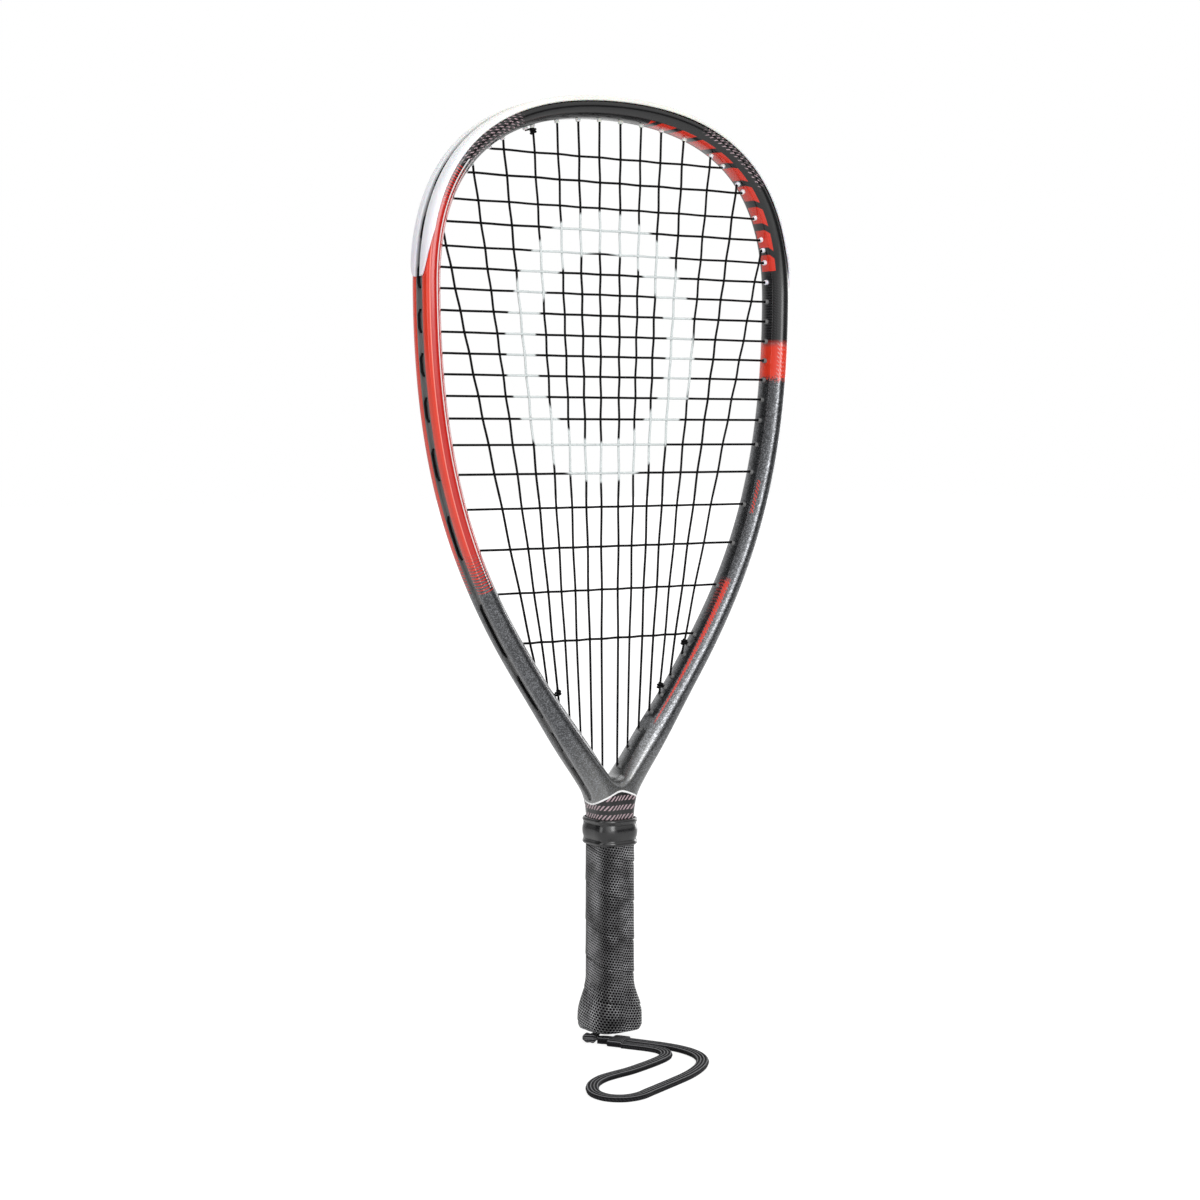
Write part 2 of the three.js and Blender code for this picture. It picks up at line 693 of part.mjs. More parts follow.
// Points across the middle of the crown, in the lane at y.
function overCrown(at, y) {
  const top = stations.length - 1;
  const half = inGroove(at, top, 1, y).slice(0, -1);
  return [...half.map((point) => sided(point, -1)), place(top, laneOut(top), y),
    ...half.toReversed()];
}
const mains = [...mainLines.map((_, i) => ({ line: i, side: -1 })).toReversed(),
  ...mainLines.map((_, i) => ({ line: i, side: 1 }))];
function mainAcross(main, height) {
  const { low, heading } = mainLines[main.line];
  return main.side * (low.x + ((height - low.y) / heading.y) * heading.x);
}
const isFront = (main, cross) => (main + cross) % 2 === 1;
const crossings = mains.map((main, i) => crossHeights.map((height, j) => {
  const end = bendPoint(crossEnds[j]);
  const x = mainAcross(main, height);
  const inHoop = Math.abs(x) < end.x - stringRadius
    && height < bendPoint(mainTops[main.line]).z - stringRadius
    && height > bendPoint(mainFeet[main.line]).z + stringRadius;
  return inHoop ? { x, height, lift: isFront(i, j) ? -weaveLift : weaveLift } : null;
}));
function mainRun(i, downwards) {
  const { line, side } = mains[i];
  const points = [
    sided(bendPoint(mainTops[line]), side),
    ...crossings[i].filter(Boolean).map(({ x, height, lift }) => new THREE.Vector3(x, lift, height)),
    sided(bendPoint(mainFeet[line]), side),
  ];
  return downwards ? points : points.toReversed();
}
function crossRun(j, rightwards) {
  const end = bendPoint(crossEnds[j]);
  const points = [
    sided(end, -1),
    ...crossings.map((column) => column[j]).filter(Boolean)
      .map(({ x, height, lift }) => new THREE.Vector3(x, -lift, height)),
    end,
  ];
  return rightwards ? points : points.toReversed();
}
// One and a half turns round a neighbouring string, from where a tail leaves its hole.
function knotAround(tip, axisStart, axisEnd) {
  const axis = new THREE.Vector3().subVectors(axisEnd, axisStart).normalize();
  const reach = Math.max(knotStandOff, new THREE.Vector3().subVectors(tip, axisStart).dot(axis) - knotPitch);
  const radius = 2 * stringRadius + clearance + stringRadius / 10;
  const back = new THREE.Vector3(0, 1, 0).addScaledVector(axis, -axis.y).normalize();
  const aside = new THREE.Vector3().crossVectors(axis, back);
  const steps = Math.round(knotTurns * knotStepsPerTurn);
  return Array.from({ length: steps + 1 }, (_, i) => {
    const angle = (i / knotStepsPerTurn) * 2 * Math.PI;
    return axisStart.clone().addScaledVector(axis, reach + (knotPitch * i) / knotStepsPerTurn)
      .addScaledVector(back, radius * Math.cos(angle))
      .addScaledVector(aside, radius * Math.sin(angle));
  });
}
function tailPath(tie, to, neighbour) {
  const [groovePoint, tip] = throughHole(tie.at, tie.side, tieHoleY);
  const knot = knotAround(tip, ...neighbour);
  return [...knot.toReversed(), tip, groovePoint, ...inGroove(tie.at, to, tie.side, laneOffset).slice(1)];
}
// The end stretch of a main string that a tail is knotted round, from its foot or from its top.
const rising = (main) => mainRun(main, false).slice(0, 2);
const falling = (main) => mainRun(main, true).slice(0, 2);
const loopBetween = (at, next, side, y) => [
  sided(place(at, laneOut(at), 0), side), ...inGroove(at, next, side, y),
  sided(place(next, laneOut(next), 0), side),
];

function mainStringPath() {
  const last = mains.length - 1;
  const points = tailPath(tieHoles.mainStart, mainFeet[6], rising(knottedMain.mainStart));
  points.push(throughHole(mainFeet[6], -1, 0)[0]);
  mains.forEach(({ line, side }, i) => {
    const downwards = i % 2 === 1;
    points.push(...mainRun(i, downwards));
    if (i === last) {
      return;
    }
    const next = mains[i + 1];
    const from = downwards ? mainFeet[line] : mainTops[line];
    const to = downwards ? mainFeet[next.line] : mainTops[next.line];
    if (side === next.side) {
      points.push(...loopBetween(from, to, side, -laneOffset));
    } else {
      points.push(sided(place(from, laneOut(from), 0), side), ...overCrown(from, -laneOffset),
        sided(place(to, laneOut(to), 0), next.side));
    }
  });
  points.push(throughHole(mainFeet[6], 1, 0)[0]);
  points.push(...tailPath(tieHoles.mainEnd, mainFeet[6], rising(knottedMain.mainEnd)).toReversed());
  return points;
}
function crossStringPath() {
  const points = tailPath(tieHoles.crossStart, crossEnds[0], falling(knottedMain.crossStart));
  points.push(throughHole(crossEnds[0], -1, 0)[0]);
  crossEnds.forEach((at, j) => {
    const rightwards = j % 2 === 0;
    points.push(...crossRun(j, rightwards));
    const next = crossEnds[j + 1];
    if (next) {
      points.push(...loopBetween(at, next, rightwards ? 1 : -1, laneOffset));
    }
  });
  points.push(throughHole(crossEnds.at(-1), 1, 0)[0]);
  const tail = tailPath(tieHoles.crossEnd, crossEnds.at(-1), rising(knottedMain.crossEnd));
  points.push(...tail.toReversed());
  return points;
}
const stringLook = () => material(colours.string, 0.35, 0);
piece('main_string', mitredTube(mainStringPath(), stringRadius, stringSides), stringLook());
piece('cross_string', mitredTube(crossStringPath(), stringRadius, stringSides), stringLook());

// ---- Handle outlines
// How far the grip's outline has widened at a height, and how far its bottom edge is rounded in.
function gripOutline(height, inset) {
  const flare = 1 - smooth(height, buttBulgeHeight, flareTopHeight);
  const below = Math.max(0, buttEdgeRadius - height);
  const edge = buttEdgeRadius - Math.sqrt(Math.max(0, buttEdgeRadius ** 2 - below ** 2));
  return {
    halfX: mix(gripHalfWidth, buttHalfWidth, flare) - edge - inset,
    halfY: mix(gripHalfDepth, buttHalfDepth, flare) - edge - inset,
    cut: gripCornerCut - inset * (2 - Math.SQRT2),
  };
}
// An octagon's sixteen points, its corners eased.
function octagon({ halfX, halfY, cut }, height) {
  const ease = gripCornerEase;
  const slant = ease * Math.SQRT1_2;
  const quarter = [
    [halfX, halfY - cut - ease], [halfX - slant, halfY - cut + slant],
    [halfX - cut + slant, halfY - slant], [halfX - cut - ease, halfY],
  ];
  const points = [
    ...quarter, ...quarter.toReversed().map(([x, y]) => [-x, y]),
    ...quarter.map(([x, y]) => [-x, -y]), ...quarter.toReversed().map(([x, y]) => [x, -y]),
  ];
  return points.map(([x, y]) => new THREE.Vector3(x, y, height));
}
const octagonLoft = (heights, inset) =>
  solidOf(loft(heights.map((height) => octagon(gripOutline(height, inset), height))));
function box(sizeX, sizeY, sizeZ, x, y, z) {
  return solidOf(new THREE.BoxGeometry(sizeX, sizeY, sizeZ).translate(x, y, z));
}
const flareShares = [0.25, 0.5, 0.75];
const edgeShares = [0.25, 0.6];
const flareHeights = flareShares.map((share) => mix(buttBulgeHeight, flareTopHeight, share));
const edgeHeights = edgeShares.map((share) => buttEdgeRadius * share);
const handleHeights = (from, to) => [
  from, ...[...edgeHeights, buttEdgeRadius, buttBulgeHeight, ...flareHeights, flareTopHeight]
    .filter((height) => height > from && height < to), to,
];

// ---- Grip wrap: one long sleeve whose rows climb with the tape, with a seam pressed in at every turn.
// Seen from above the tape climbs clockwise, and its seams pass the middle of the front every pitch.
function wrapOutside() {
  const count = octagon(gripOutline(flareTopHeight, 0), 0).length;
  const turns = Math.ceil(gripTopHeight / wrapPitch) + 1;
  const rows = [];
  for (let turn = -2; turn < turns; turn++) {
    const start = wrapSeamFoot + (turn - wrapFrontShare) * wrapPitch;
    rows.push([start, wrapSeamDepth], [start + wrapSeamHalfWidth, 0], [start + wrapPitch / 2, 0]);
    rows.push([start + wrapPitch - wrapSeamHalfWidth, 0]);
  }
  const rings = rows.map(([low, inset]) => Array.from({ length: count }, (_, i) => {
    const height = low + (wrapPitch * i) / count;
    const seen = THREE.MathUtils.clamp(height, wrapFootHeight, gripTopHeight);
    const point = octagon(gripOutline(seen, inset), height)[i];
    return point;
  }));
  return mirrored(spiralLoft(rings));
}
// A loft whose rings climb one pitch as they go round, closed on itself by the next turn's ring.
function spiralLoft(rings) {
  const count = rings[0].length;
  const rowsPerTurn = 4;
  const position = rings.flat().flatMap((point) => [point.x, point.y, point.z]);
  const index = [];
  const at = (ring, i) => (ring + Math.floor(i / count) * rowsPerTurn) * count + (i % count);
  const top = rings.length - 1 - rowsPerTurn;
  for (let ring = 0; ring < top; ring++) {
    for (let i = 0; i < count; i++) {
      index.push(at(ring, i), at(ring, i + 1), at(ring + 1, i + 1));
      index.push(at(ring, i), at(ring + 1, i + 1), at(ring + 1, i));
    }
  }
  const rim = (ring) => {
    const around = Array.from({ length: count }, (_, i) => at(ring, i));
    const climb = Array.from({ length: rowsPerTurn }, (_, i) => at(ring + rowsPerTurn - i, 0));
    return [...around, ...climb];
  };
  const middle = (ring, sign) => {
    const own = rim(ring);
    const heights = own.map((i) => position[3 * i + 2]);
    const end = sign > 0 ? Math.max(...heights) : Math.min(...heights);
    const centre = position.length / 3;
    position.push(0, 0, end + sign * wrapPitch);
    own.forEach((corner, i) => {
      const next = own[(i + 1) % own.length];
      index.push(...(sign > 0 ? [corner, next, centre] : [next, corner, centre]));
    });
  };
  middle(0, -1);
  middle(top, 1);
  const geometry = new THREE.BufferGeometry();
  geometry.setAttribute('position', new THREE.Float32BufferAttribute(position, 3));
  geometry.setIndex(index);
  return outward(geometry);
}
const slabHeight = gripTopHeight - wrapFootHeight;
const slab = box(4 * buttHalfWidth, 4 * buttHalfWidth, slabHeight, 0, 0, wrapFootHeight + slabHeight / 2);
const wrapBore = octagonLoft(handleHeights(0, gripTopHeight + cutOverrun), wrapThickness);
piece('grip_wrap', solidOf(wrapOutside()).intersect(slab).subtract(wrapBore),
  material(colours.wrap, 0.75, 0));

// ---- Butt cap, pallets and the staples that hold the cap to them
const capInset = wrapThickness + clearance;
const palletInset = capInset;
const palletFootInset = capInset + capWall + clearance;
const gripSize = (inset) => gripOutline(flareTopHeight, inset);
const straightOctagon = (inset, from, to) => solidOf(loft(
  [from, to].map((height) => octagon(gripSize(inset), height))));
function staple(side, extra) {
  const outer = gripSize(capInset).halfX + capFlareAt(stapleHeight);
  const wire = stapleWire + 2 * extra;
  const crown = box(wire, stapleCrown + 2 * extra, wire,
    side * (outer - stapleWire / 2), 0, stapleHeight);
  const legs = [-1, 1].map((end) => box(
    stapleLeg + extra, wire, wire,
    side * (outer - stapleLeg / 2 - extra / 2), (end * (stapleCrown - stapleWire)) / 2, stapleHeight));
  return joined([crown, ...legs]);
}
function capFlareAt(height) {
  return gripOutline(height, 0).halfX - gripHalfWidth;
}
const hole = new THREE.CylinderGeometry(
  lanyardHoleRadius, lanyardHoleRadius, capFloor + 2 * cutOverrun, 2 * barrelSides)
  .rotateX(Math.PI / 2).translate(lanyardHole.x, lanyardHole.y, capFloor / 2);
const stapleSpace = [-1, 1].map((side) => staple(side, clearance));
const cap = octagonLoft(handleHeights(wrapFootHeight, capTopHeight), capInset)
  .add(octagonLoft([0, wrapFootHeight + clearance], capInset + clearance))
  .subtract(straightOctagon(palletFootInset - clearance, capFloor, capTopHeight + cutOverrun))
  .subtract(solidOf(hole)).subtract(joined(stapleSpace));
piece('butt_cap', cap, material(colours.cap, 0.6, 0));
piece('left_cap_staple', staple(-1, 0), material(colours.staple, 0.3, 1));
piece('right_cap_staple', staple(1, 0), material(colours.staple, 0.3, 1));

const pocketHalfX = legHalfSpan + handleLegHalfWidth + clearance;
const pocketHalfY = handleLegHalfDepth + clearance;
const palletFloor = legFootHeight - clearance;
const palletBody = straightOctagon(palletInset, capTopHeight + clearance, palletTopHeight)
  .add(straightOctagon(palletFootInset, palletFootHeight, capTopHeight + 2 * clearance))
  .subtract(box(2 * pocketHalfX, 2 * pocketHalfY, palletTopHeight,
    0, 0, palletFloor + palletTopHeight / 2))
  .subtract(joined(stapleSpace));
for (const [name, side] of [['front_handle_pallet', -1], ['rear_handle_pallet', 1]]) {
  const half = box(2 * buttHalfWidth, buttHalfDepth, 2 * palletTopHeight,
    0, side * (buttHalfDepth / 2 + palletSplit / 2), palletTopHeight);
  piece(name, palletBody.intersect(half), material(colours.pallet, 0.8, 0));
}

// ---- Rubber collar over the end of the wrap and the foot of the neck
function collarOutside() {
  const high = collarTopHeight - collarFootHeight;
  const beadShares = [
    [0, 0.35], [0.25, 1], [0.75, 1], [1, 0.25],
  ];
  const bead = beadShares.map(([up, out]) => [up * collarBeadHeight, out * collarBead]);
  const bulgeShares = [0.25, 0.5, 0.75];
  const bulgeHigh = high - 2 * collarBeadHeight;
  const middle = bulgeShares.map((share) => [
    collarBeadHeight + share * bulgeHigh, Math.sin(share * Math.PI) * collarBulge,
  ]);
  const profile = [...bead, ...middle, ...bead.toReversed().map(([up, out]) => [high - up, out])];
  return solidOf(loft(profile.map(([up, out]) => octagon(
    gripOutline(flareTopHeight, -collarWall - out), collarFootHeight + up))));
}
function neckOutline(height, extra) {
  const at = stationAtHeight(height);
  const { width, depth } = sizesAt(at);
  const share = sharesAt(height);
  const centre = place(at, 0, 0).x;
  const reach = (part) => centre + part * width + extra;
  const quarter = [
    [reach(1), depth * share.outerFace + extra / 2],
    [reach(share.outerBevelWidth), depth * share.outerBevelDepth + extra],
    [reach(share.ridgeOuter), depth + extra],
  ];
  return [
    ...quarter, ...quarter.toReversed().map(([x, y]) => [-x, y]),
    ...quarter.map(([x, y]) => [-x, -y]), ...quarter.toReversed().map(([x, y]) => [x, -y]),
  ].map(([x, y]) => new THREE.Vector3(x, y, height));
}
const collarNeckHeights = [collarStepHeight - clearance, neckFootHeight, neckBendHeight,
  (neckBendHeight + collarTopHeight) / 2, collarTopHeight + cutOverrun];
const collarBore = solidOf(loft(collarNeckHeights.map((height) => neckOutline(
  Math.max(height, neckFootHeight), clearance).map((point) => point.setZ(height)))))
  .add(solidOf(loft([collarFootHeight - cutOverrun, collarStepHeight].map(
    (height) => octagon(gripOutline(flareTopHeight, -clearance), height)))));
piece('grip_collar', collarOutside().subtract(collarBore), material(colours.collar, 0.25, 0));

// ---- Lanyard: keeper, doubled tail, knot and the cord's loop
const cordHeight = lanyardThickness / 2 - floorDrop;
const headingOf = new THREE.Vector2(Math.cos(keeperHeading), Math.sin(keeperHeading));
const asideOf = new THREE.Vector2(-headingOf.y, headingOf.x);
const keeperHalfWidth = lanyardWidth + strandGap / 2 + keeperWall;
const keeperHeight = lanyardThickness + 2 * keeperWall;
const chamfer = lanyardCornerShare * lanyardThickness;
function strapSection(halfHigh, halfWide, corner) {
  return [
    [-halfHigh, -halfWide + corner], [-halfHigh + corner / 2, -halfWide], [halfHigh - corner / 2, -halfWide],
    [halfHigh, -halfWide + corner], [halfHigh, halfWide - corner], [halfHigh - corner / 2, halfWide],
    [-halfHigh + corner / 2, halfWide], [-halfHigh, halfWide - corner],
  ];
}
function strapAlong(points, halfHigh, halfWide, corner, steps) {
  const shape = new THREE.Shape(strapSection(halfHigh, halfWide, corner).map(
    ([x, y]) => new THREE.Vector2(x, y)));
  const path = new THREE.CatmullRomCurve3(points, false, 'centripetal');
  return new THREE.ExtrudeGeometry(shape, { steps, bevelEnabled: false, extrudePath: path });
}
const onFloor = ([x, y], height) => new THREE.Vector3(x, y, height);
piece('lanyard_cord', strapAlong(lanyardRoute.map((point) => onFloor(point, cordHeight)),
  lanyardThickness / 2, lanyardWidth / 2, chamfer, lanyardSteps), material(colours.lanyard, 0.9, 0));

const keeperHigh = keeperHeight / 2 - floorDrop;
const keeperEnd = (way) => keeperCentre.clone().addScaledVector(headingOf, way * keeperLength / 2);
const keeperPoints = [keeperEnd(-1), keeperEnd(1)].map((end) => onFloor([end.x, end.y], keeperHigh));
piece('lanyard_keeper', strapAlong(keeperPoints, keeperHeight / 2, keeperHalfWidth, chamfer, 1),
  material(colours.lanyard, 0.8, 0));

const tailStart = keeperEnd(-1).addScaledVector(headingOf, -clearance);
const tailBend = tailStart.clone().addScaledVector(headingOf, -lanyardWidth / 2);
const toKnot = knotCentre.clone().sub(tailBend).normalize();
const tailEnd = knotCentre.clone().addScaledVector(toKnot, -knotHalfLength - clearance);
const tailHigh = tailThickness / 2 - floorDrop;
piece('lanyard_tail', strapAlong([tailStart, tailBend, tailEnd].map(({ x, y }) => onFloor([x, y], tailHigh)),
  tailThickness / 2, lanyardWidth / 2, chamfer, 4), material(colours.lanyard, 0.9, 0));

const knotHigh = knotHalfHeight - floorDrop;
const knotBody = new THREE.SphereGeometry(1, 2 * barrelSides, barrelSides)
  .scale(knotHalfLength, knotHalfWidth, knotHalfHeight)
  .rotateZ(Math.atan2(toKnot.y, toKnot.x)).translate(knotCentre.x, knotCentre.y, knotHigh);
const neckTurn = -lanyardNeckRadius - 2 * clearance;
const knotNeck = mitredTube([
  new THREE.Vector3(knotCentre.x, knotCentre.y, neckTurn),
  new THREE.Vector3(lanyardHole.x, lanyardHole.y, neckTurn),
  new THREE.Vector3(lanyardHole.x, lanyardHole.y, capFloor),
], lanyardNeckRadius, 2 * stringSides);
piece('lanyard_knot', solidOf(knotBody).add(solidOf(knotNeck)), material(colours.lanyard, 0.9, 0));

export default racket;
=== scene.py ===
import math
import os

import bmesh
import bpy
from mathutils import Matrix, Vector


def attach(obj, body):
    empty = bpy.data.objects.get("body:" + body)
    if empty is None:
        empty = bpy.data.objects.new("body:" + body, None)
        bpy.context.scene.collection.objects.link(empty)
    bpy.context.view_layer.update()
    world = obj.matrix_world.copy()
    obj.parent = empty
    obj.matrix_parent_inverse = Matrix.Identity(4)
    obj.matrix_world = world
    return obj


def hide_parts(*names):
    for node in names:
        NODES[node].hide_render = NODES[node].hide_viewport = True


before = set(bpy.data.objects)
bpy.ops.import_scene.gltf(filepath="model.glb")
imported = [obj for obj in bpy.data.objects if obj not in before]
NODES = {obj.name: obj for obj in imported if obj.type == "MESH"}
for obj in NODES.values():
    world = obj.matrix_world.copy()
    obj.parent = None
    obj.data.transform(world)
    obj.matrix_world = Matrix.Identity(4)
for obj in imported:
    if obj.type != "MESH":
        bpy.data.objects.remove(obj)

bl_info = {
    "name": "Racquetball Racket",
    "version": (1, 0, 0),
    "blender": (4, 5, 0),
    "location": "View3D > Sidebar > Racket",
    "description": "Dresses a strung racquetball racket: lacquered tube, guard, strings, grip, collar and lanyard",
    "category": "Object",
}

MM = 0.001

# ---- Heights and sizes in millimetres above the butt, as on the maker's drawing
GRIP_CENTRE = 62.0
LENGTH = 558.8
HOOP = (5.6, 10.5)
FLANK = (6.1, 10.8)
THROAT = (7.7, 11.4)
NECK = (8.3, 13.0)
LEG = (3.7, 8.5)
GROOVE = 2.6
GROOVE_HALF = 3.4
GROOVE_END = 140.8
GROOVE_ROUND = 9.0
BUMPER_CROWN = 1.4
HOOP_TOP = LENGTH - HOOP[0] - BUMPER_CROWN
HOOP_HALF_SPAN = 125.8
WIDEST = 444.8
THROAT_HEIGHT = 153.2
THROAT_ANGLE = math.radians(35.5)
THROAT_FILLET = 6.0
# The section's corners as shares of its half width and half depth, in the neck and up in the hoop.
NECK_SHARES = {"face": 0.47, "bevel_width": 0.74, "bevel_depth": 0.82, "ridge": 0.42, "inner": -0.6, "edge": 0.4}
HOOP_SHARES = {"face": 0.62, "bevel_width": 0.86, "bevel_depth": 0.84, "ridge": 0.32, "inner": 0.06, "edge": 0.46}
SKIRT_SHARE = 0.65
SKIRT_RIDGE = 0.46
TONGUE_LENGTH = 26.0
NECK_FOOT = 120.0
NECK_BEND = 122.0
LEG_TOP = 112.5
LEG_FOOT = 30.0
GUARD_FOOT = 449.0
STRING = 0.65
MAIN_WEAVE = 0.32
CROSS_WEAVE = 1.1
FLOOR = -6.0
WRAP_FOOT = 1.4
WRAP_TOP = 115.5
COLLAR_FOOT = 114.4
COLLAR_TOP = 130.5
SEAMS = (-22.0, -2.0, 18.0, 38.0, 58.0, 82.0, 106.0, 130.0, 154.0)

LANYARD = (7.6, 3.2)
RIB_STEPS = 5
RIB_PITCH = 0.0019
# The cord's middle line on the surface it lies on, from the keeper round and back to it.
LANYARD_ROUTE = (
    (-0.0054, -0.0213), (-0.0024, -0.0264), (0.0006, -0.0314), (0.0034, -0.0366), (0.0056, -0.0433),
    (0.0048, -0.0500), (0.0015, -0.0553), (-0.0036, -0.0589), (-0.0134, -0.0630), (-0.0246, -0.0666),
    (-0.0356, -0.0696), (-0.0465, -0.0712), (-0.0570, -0.0736), (-0.0668, -0.0794), (-0.0740, -0.0880),
    (-0.0776, -0.0970), (-0.0762, -0.1062), (-0.0698, -0.1122), (-0.0606, -0.1134), (-0.0496, -0.1098),
    (-0.0380, -0.1056), (-0.0266, -0.1014), (-0.0154, -0.0970), (-0.0050, -0.0916), (0.0044, -0.0850),
    (0.0122, -0.0766), (0.0170, -0.0666), (0.0182, -0.0560), (0.0166, -0.0460), (0.0130, -0.0366),
    (0.0088, -0.0284), (0.0022, -0.0167),
)
KEEPER = (-4.0, -14.9)
KEEPER_HEADING = math.radians(-58.7)
KEEPER_LENGTH = 9.0
KNOT = (-15.4, -1.2)
LANYARD_HOLE = (-8.5, 2.0)


class RacketSizes(bpy.types.PropertyGroup):
    string_radius: bpy.props.FloatProperty(
        name="String radius", description="Half the string's gauge", default=0.7 * MM, min=0.0004, max=0.001,
        unit="LENGTH")
    corner_ease: bpy.props.FloatProperty(
        name="Tube corner ease", description="How far the tube's long edges are rounded back", default=2.3 * MM,
        min=0.0002, max=0.003, unit="LENGTH")
    lap_depth: bpy.props.FloatProperty(
        name="Grip lap depth", description="How deep the seam between two turns of the wrap is pressed in",
        default=0.5 * MM, min=0.0, max=0.001, unit="LENGTH")
    perforation_pitch: bpy.props.FloatProperty(
        name="Perforation pitch", description="Distance between two holes of the grip's skin", default=1.75 * MM,
        min=0.0008, max=0.004, unit="LENGTH")


def tint(name, words, colour):
    return bpy.props.FloatVectorProperty(
        name=name, description=words, subtype="COLOR", size=4, min=0.0, max=1.0, default=(*colour, 1.0))


class RacketColours(bpy.types.PropertyGroup):
    gunmetal: tint("Gunmetal", "Metallic lacquer of the lower frame", (0.062, 0.064, 0.068))
    throat: tint("Throat", "The metallic lacquer's lighter shade in the throat", (0.24, 0.24, 0.23))
    black: tint("Black", "Lacquer of the crown and the neck", (0.006, 0.006, 0.0065))
    red: tint("Red", "Lacquer of the flank and the marks", (0.62, 0.026, 0.009))
    fleck: tint("Fleck", "Dashes printed in the black fields", (0.47, 0.34, 0.37))
    white: tint("White", "Pin stripe, wave line and string ink", (0.80, 0.80, 0.80))
    guard: tint("Guard", "Clear-white head guard on the shoulders", (0.775, 0.785, 0.815))
    # The guard's top colour is lighter and warmer than the rest: a painted highlight from the light over the crown.
    guard_top_highlight: tint("Guard top", "The guard's warmer white over the crown", (0.84, 0.84, 0.77))
    guard_foot: tint("Guard foot", "The guard's lilac white at its feet", (0.76, 0.735, 0.79))
    grommet: tint("Grommet strip", "Grey strips in the groove", (0.10, 0.10, 0.10))
    string: tint("String", "Black strings", (0.004, 0.004, 0.0045))
    ink: tint("String ink", "The ring stencilled on the strings", (0.60, 0.64, 0.64))
    grip: tint("Grip", "Skin of the grip wrap", (0.014, 0.014, 0.0145))
    rubber: tint("Rubber", "Collar over the wrap's end", (0.005, 0.005, 0.0055))
    braid: tint("Braid", "Yarn of the wrist lanyard", (0.003, 0.003, 0.0034))


class RacketStage(bpy.types.PropertyGroup):
    key_power: bpy.props.FloatProperty(
        name="Key light", description="Power of the softbox over the camera", default=19.0, min=0.0, unit="POWER")
    fill_power: bpy.props.FloatProperty(
        name="Rim light", description="Power of the softbox behind on the right", default=8.0, min=0.0, unit="POWER")
    world_strength: bpy.props.FloatProperty(
        name="Backdrop light", description="Strength of the white backdrop's light", default=0.85, min=0.0, max=2.0)
    strip_strength: bpy.props.FloatProperty(
        name="Side strip", description="Brightness of the narrow strip light on the left in gloss", default=2.6,
        min=0.0, max=3.0)
    window_strength: bpy.props.FloatProperty(
        name="Front window", description="Brightness of the window of soft light in front in gloss", default=1.7,
        min=0.0, max=2.0)
    top_strength: bpy.props.FloatProperty(
        name="Top reflector", description="Brightness of the reflector over the camera in gloss", default=0.8,
        min=0.0, max=2.0)
    room_shade: bpy.props.FloatProperty(
        name="Room shade", description="Brightness of the dark sides of the room in gloss", default=0.05, min=0.0,
        max=1.0)
    backdrop_edge: bpy.props.FloatVectorProperty(
        name="Backdrop edge", description="How far round the white backdrop reaches", size=2, default=(0.2, 0.9))


# ---- Small helpers

def at_grip(x, y, z):
    """A point from millimetres above the butt to metres from the grip's centre."""
    return Vector((x, y, z - GRIP_CENTRE)) * MM


def mix(low, high, share):
    return low + (high - low) * share


def smooth(value, low, high):
    share = min(1.0, max(0.0, (value - low) / (high - low)))
    return share * share * (3 - 2 * share)


def nothing_selected():
    if bpy.context.mode != "OBJECT":
        bpy.ops.object.mode_set(mode="OBJECT")
    bpy.ops.object.select_all(action="DESELECT")


def only(*pieces):
    nothing_selected()
    for piece in pieces:
        piece.select_set(True)
    bpy.context.view_layer.objects.active = pieces[0]


def modify(piece, kind, **settings):
    """Adds a modifier and applies it at once."""
    only(piece)
    made = piece.modifiers.new(kind.title(), kind)
    for name, value in settings.items():
        setattr(made, name, value)
    bpy.ops.object.modifier_apply(modifier=made.name)


def finish_piece(piece, look, stands_for, angle=40.0):
    """Shades a piece, gives it its material, and puts it on the racket in place of its CAD nodes."""
    only(piece)
    bpy.ops.object.shade_smooth_by_angle(angle=math.radians(angle))
    piece.data.materials.clear()
    piece.data.materials.append(look)
    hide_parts(*stands_for)
    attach(piece, "root")
    return piece


def eased(corners, reach, steps=3):
    """A closed outline with each corner rounded: a corner is (a, b) or (a, b, its own reach)."""
    points = []
    count = len(corners)
    for i, corner in enumerate(corners):
        here = Vector(corner[:2])
        if len(corner) > 2 and corner[2] == 0:
            points.append(here)
            continue
        before = Vector(corners[i - 1][:2]) - here
        after = Vector(corners[(i + 1) % count][:2]) - here
        own = corner[2] if len(corner) > 2 else reach
        start = here + before.normalized() * min(own, before.length * 0.48)
        end = here + after.normalized() * min(own, after.length * 0.48)
        for k in range(steps + 1):
            share = k / steps
            points.append(start * (1 - share) ** 2 + here * 2 * share * (1 - share) + end * share * share)
    return points


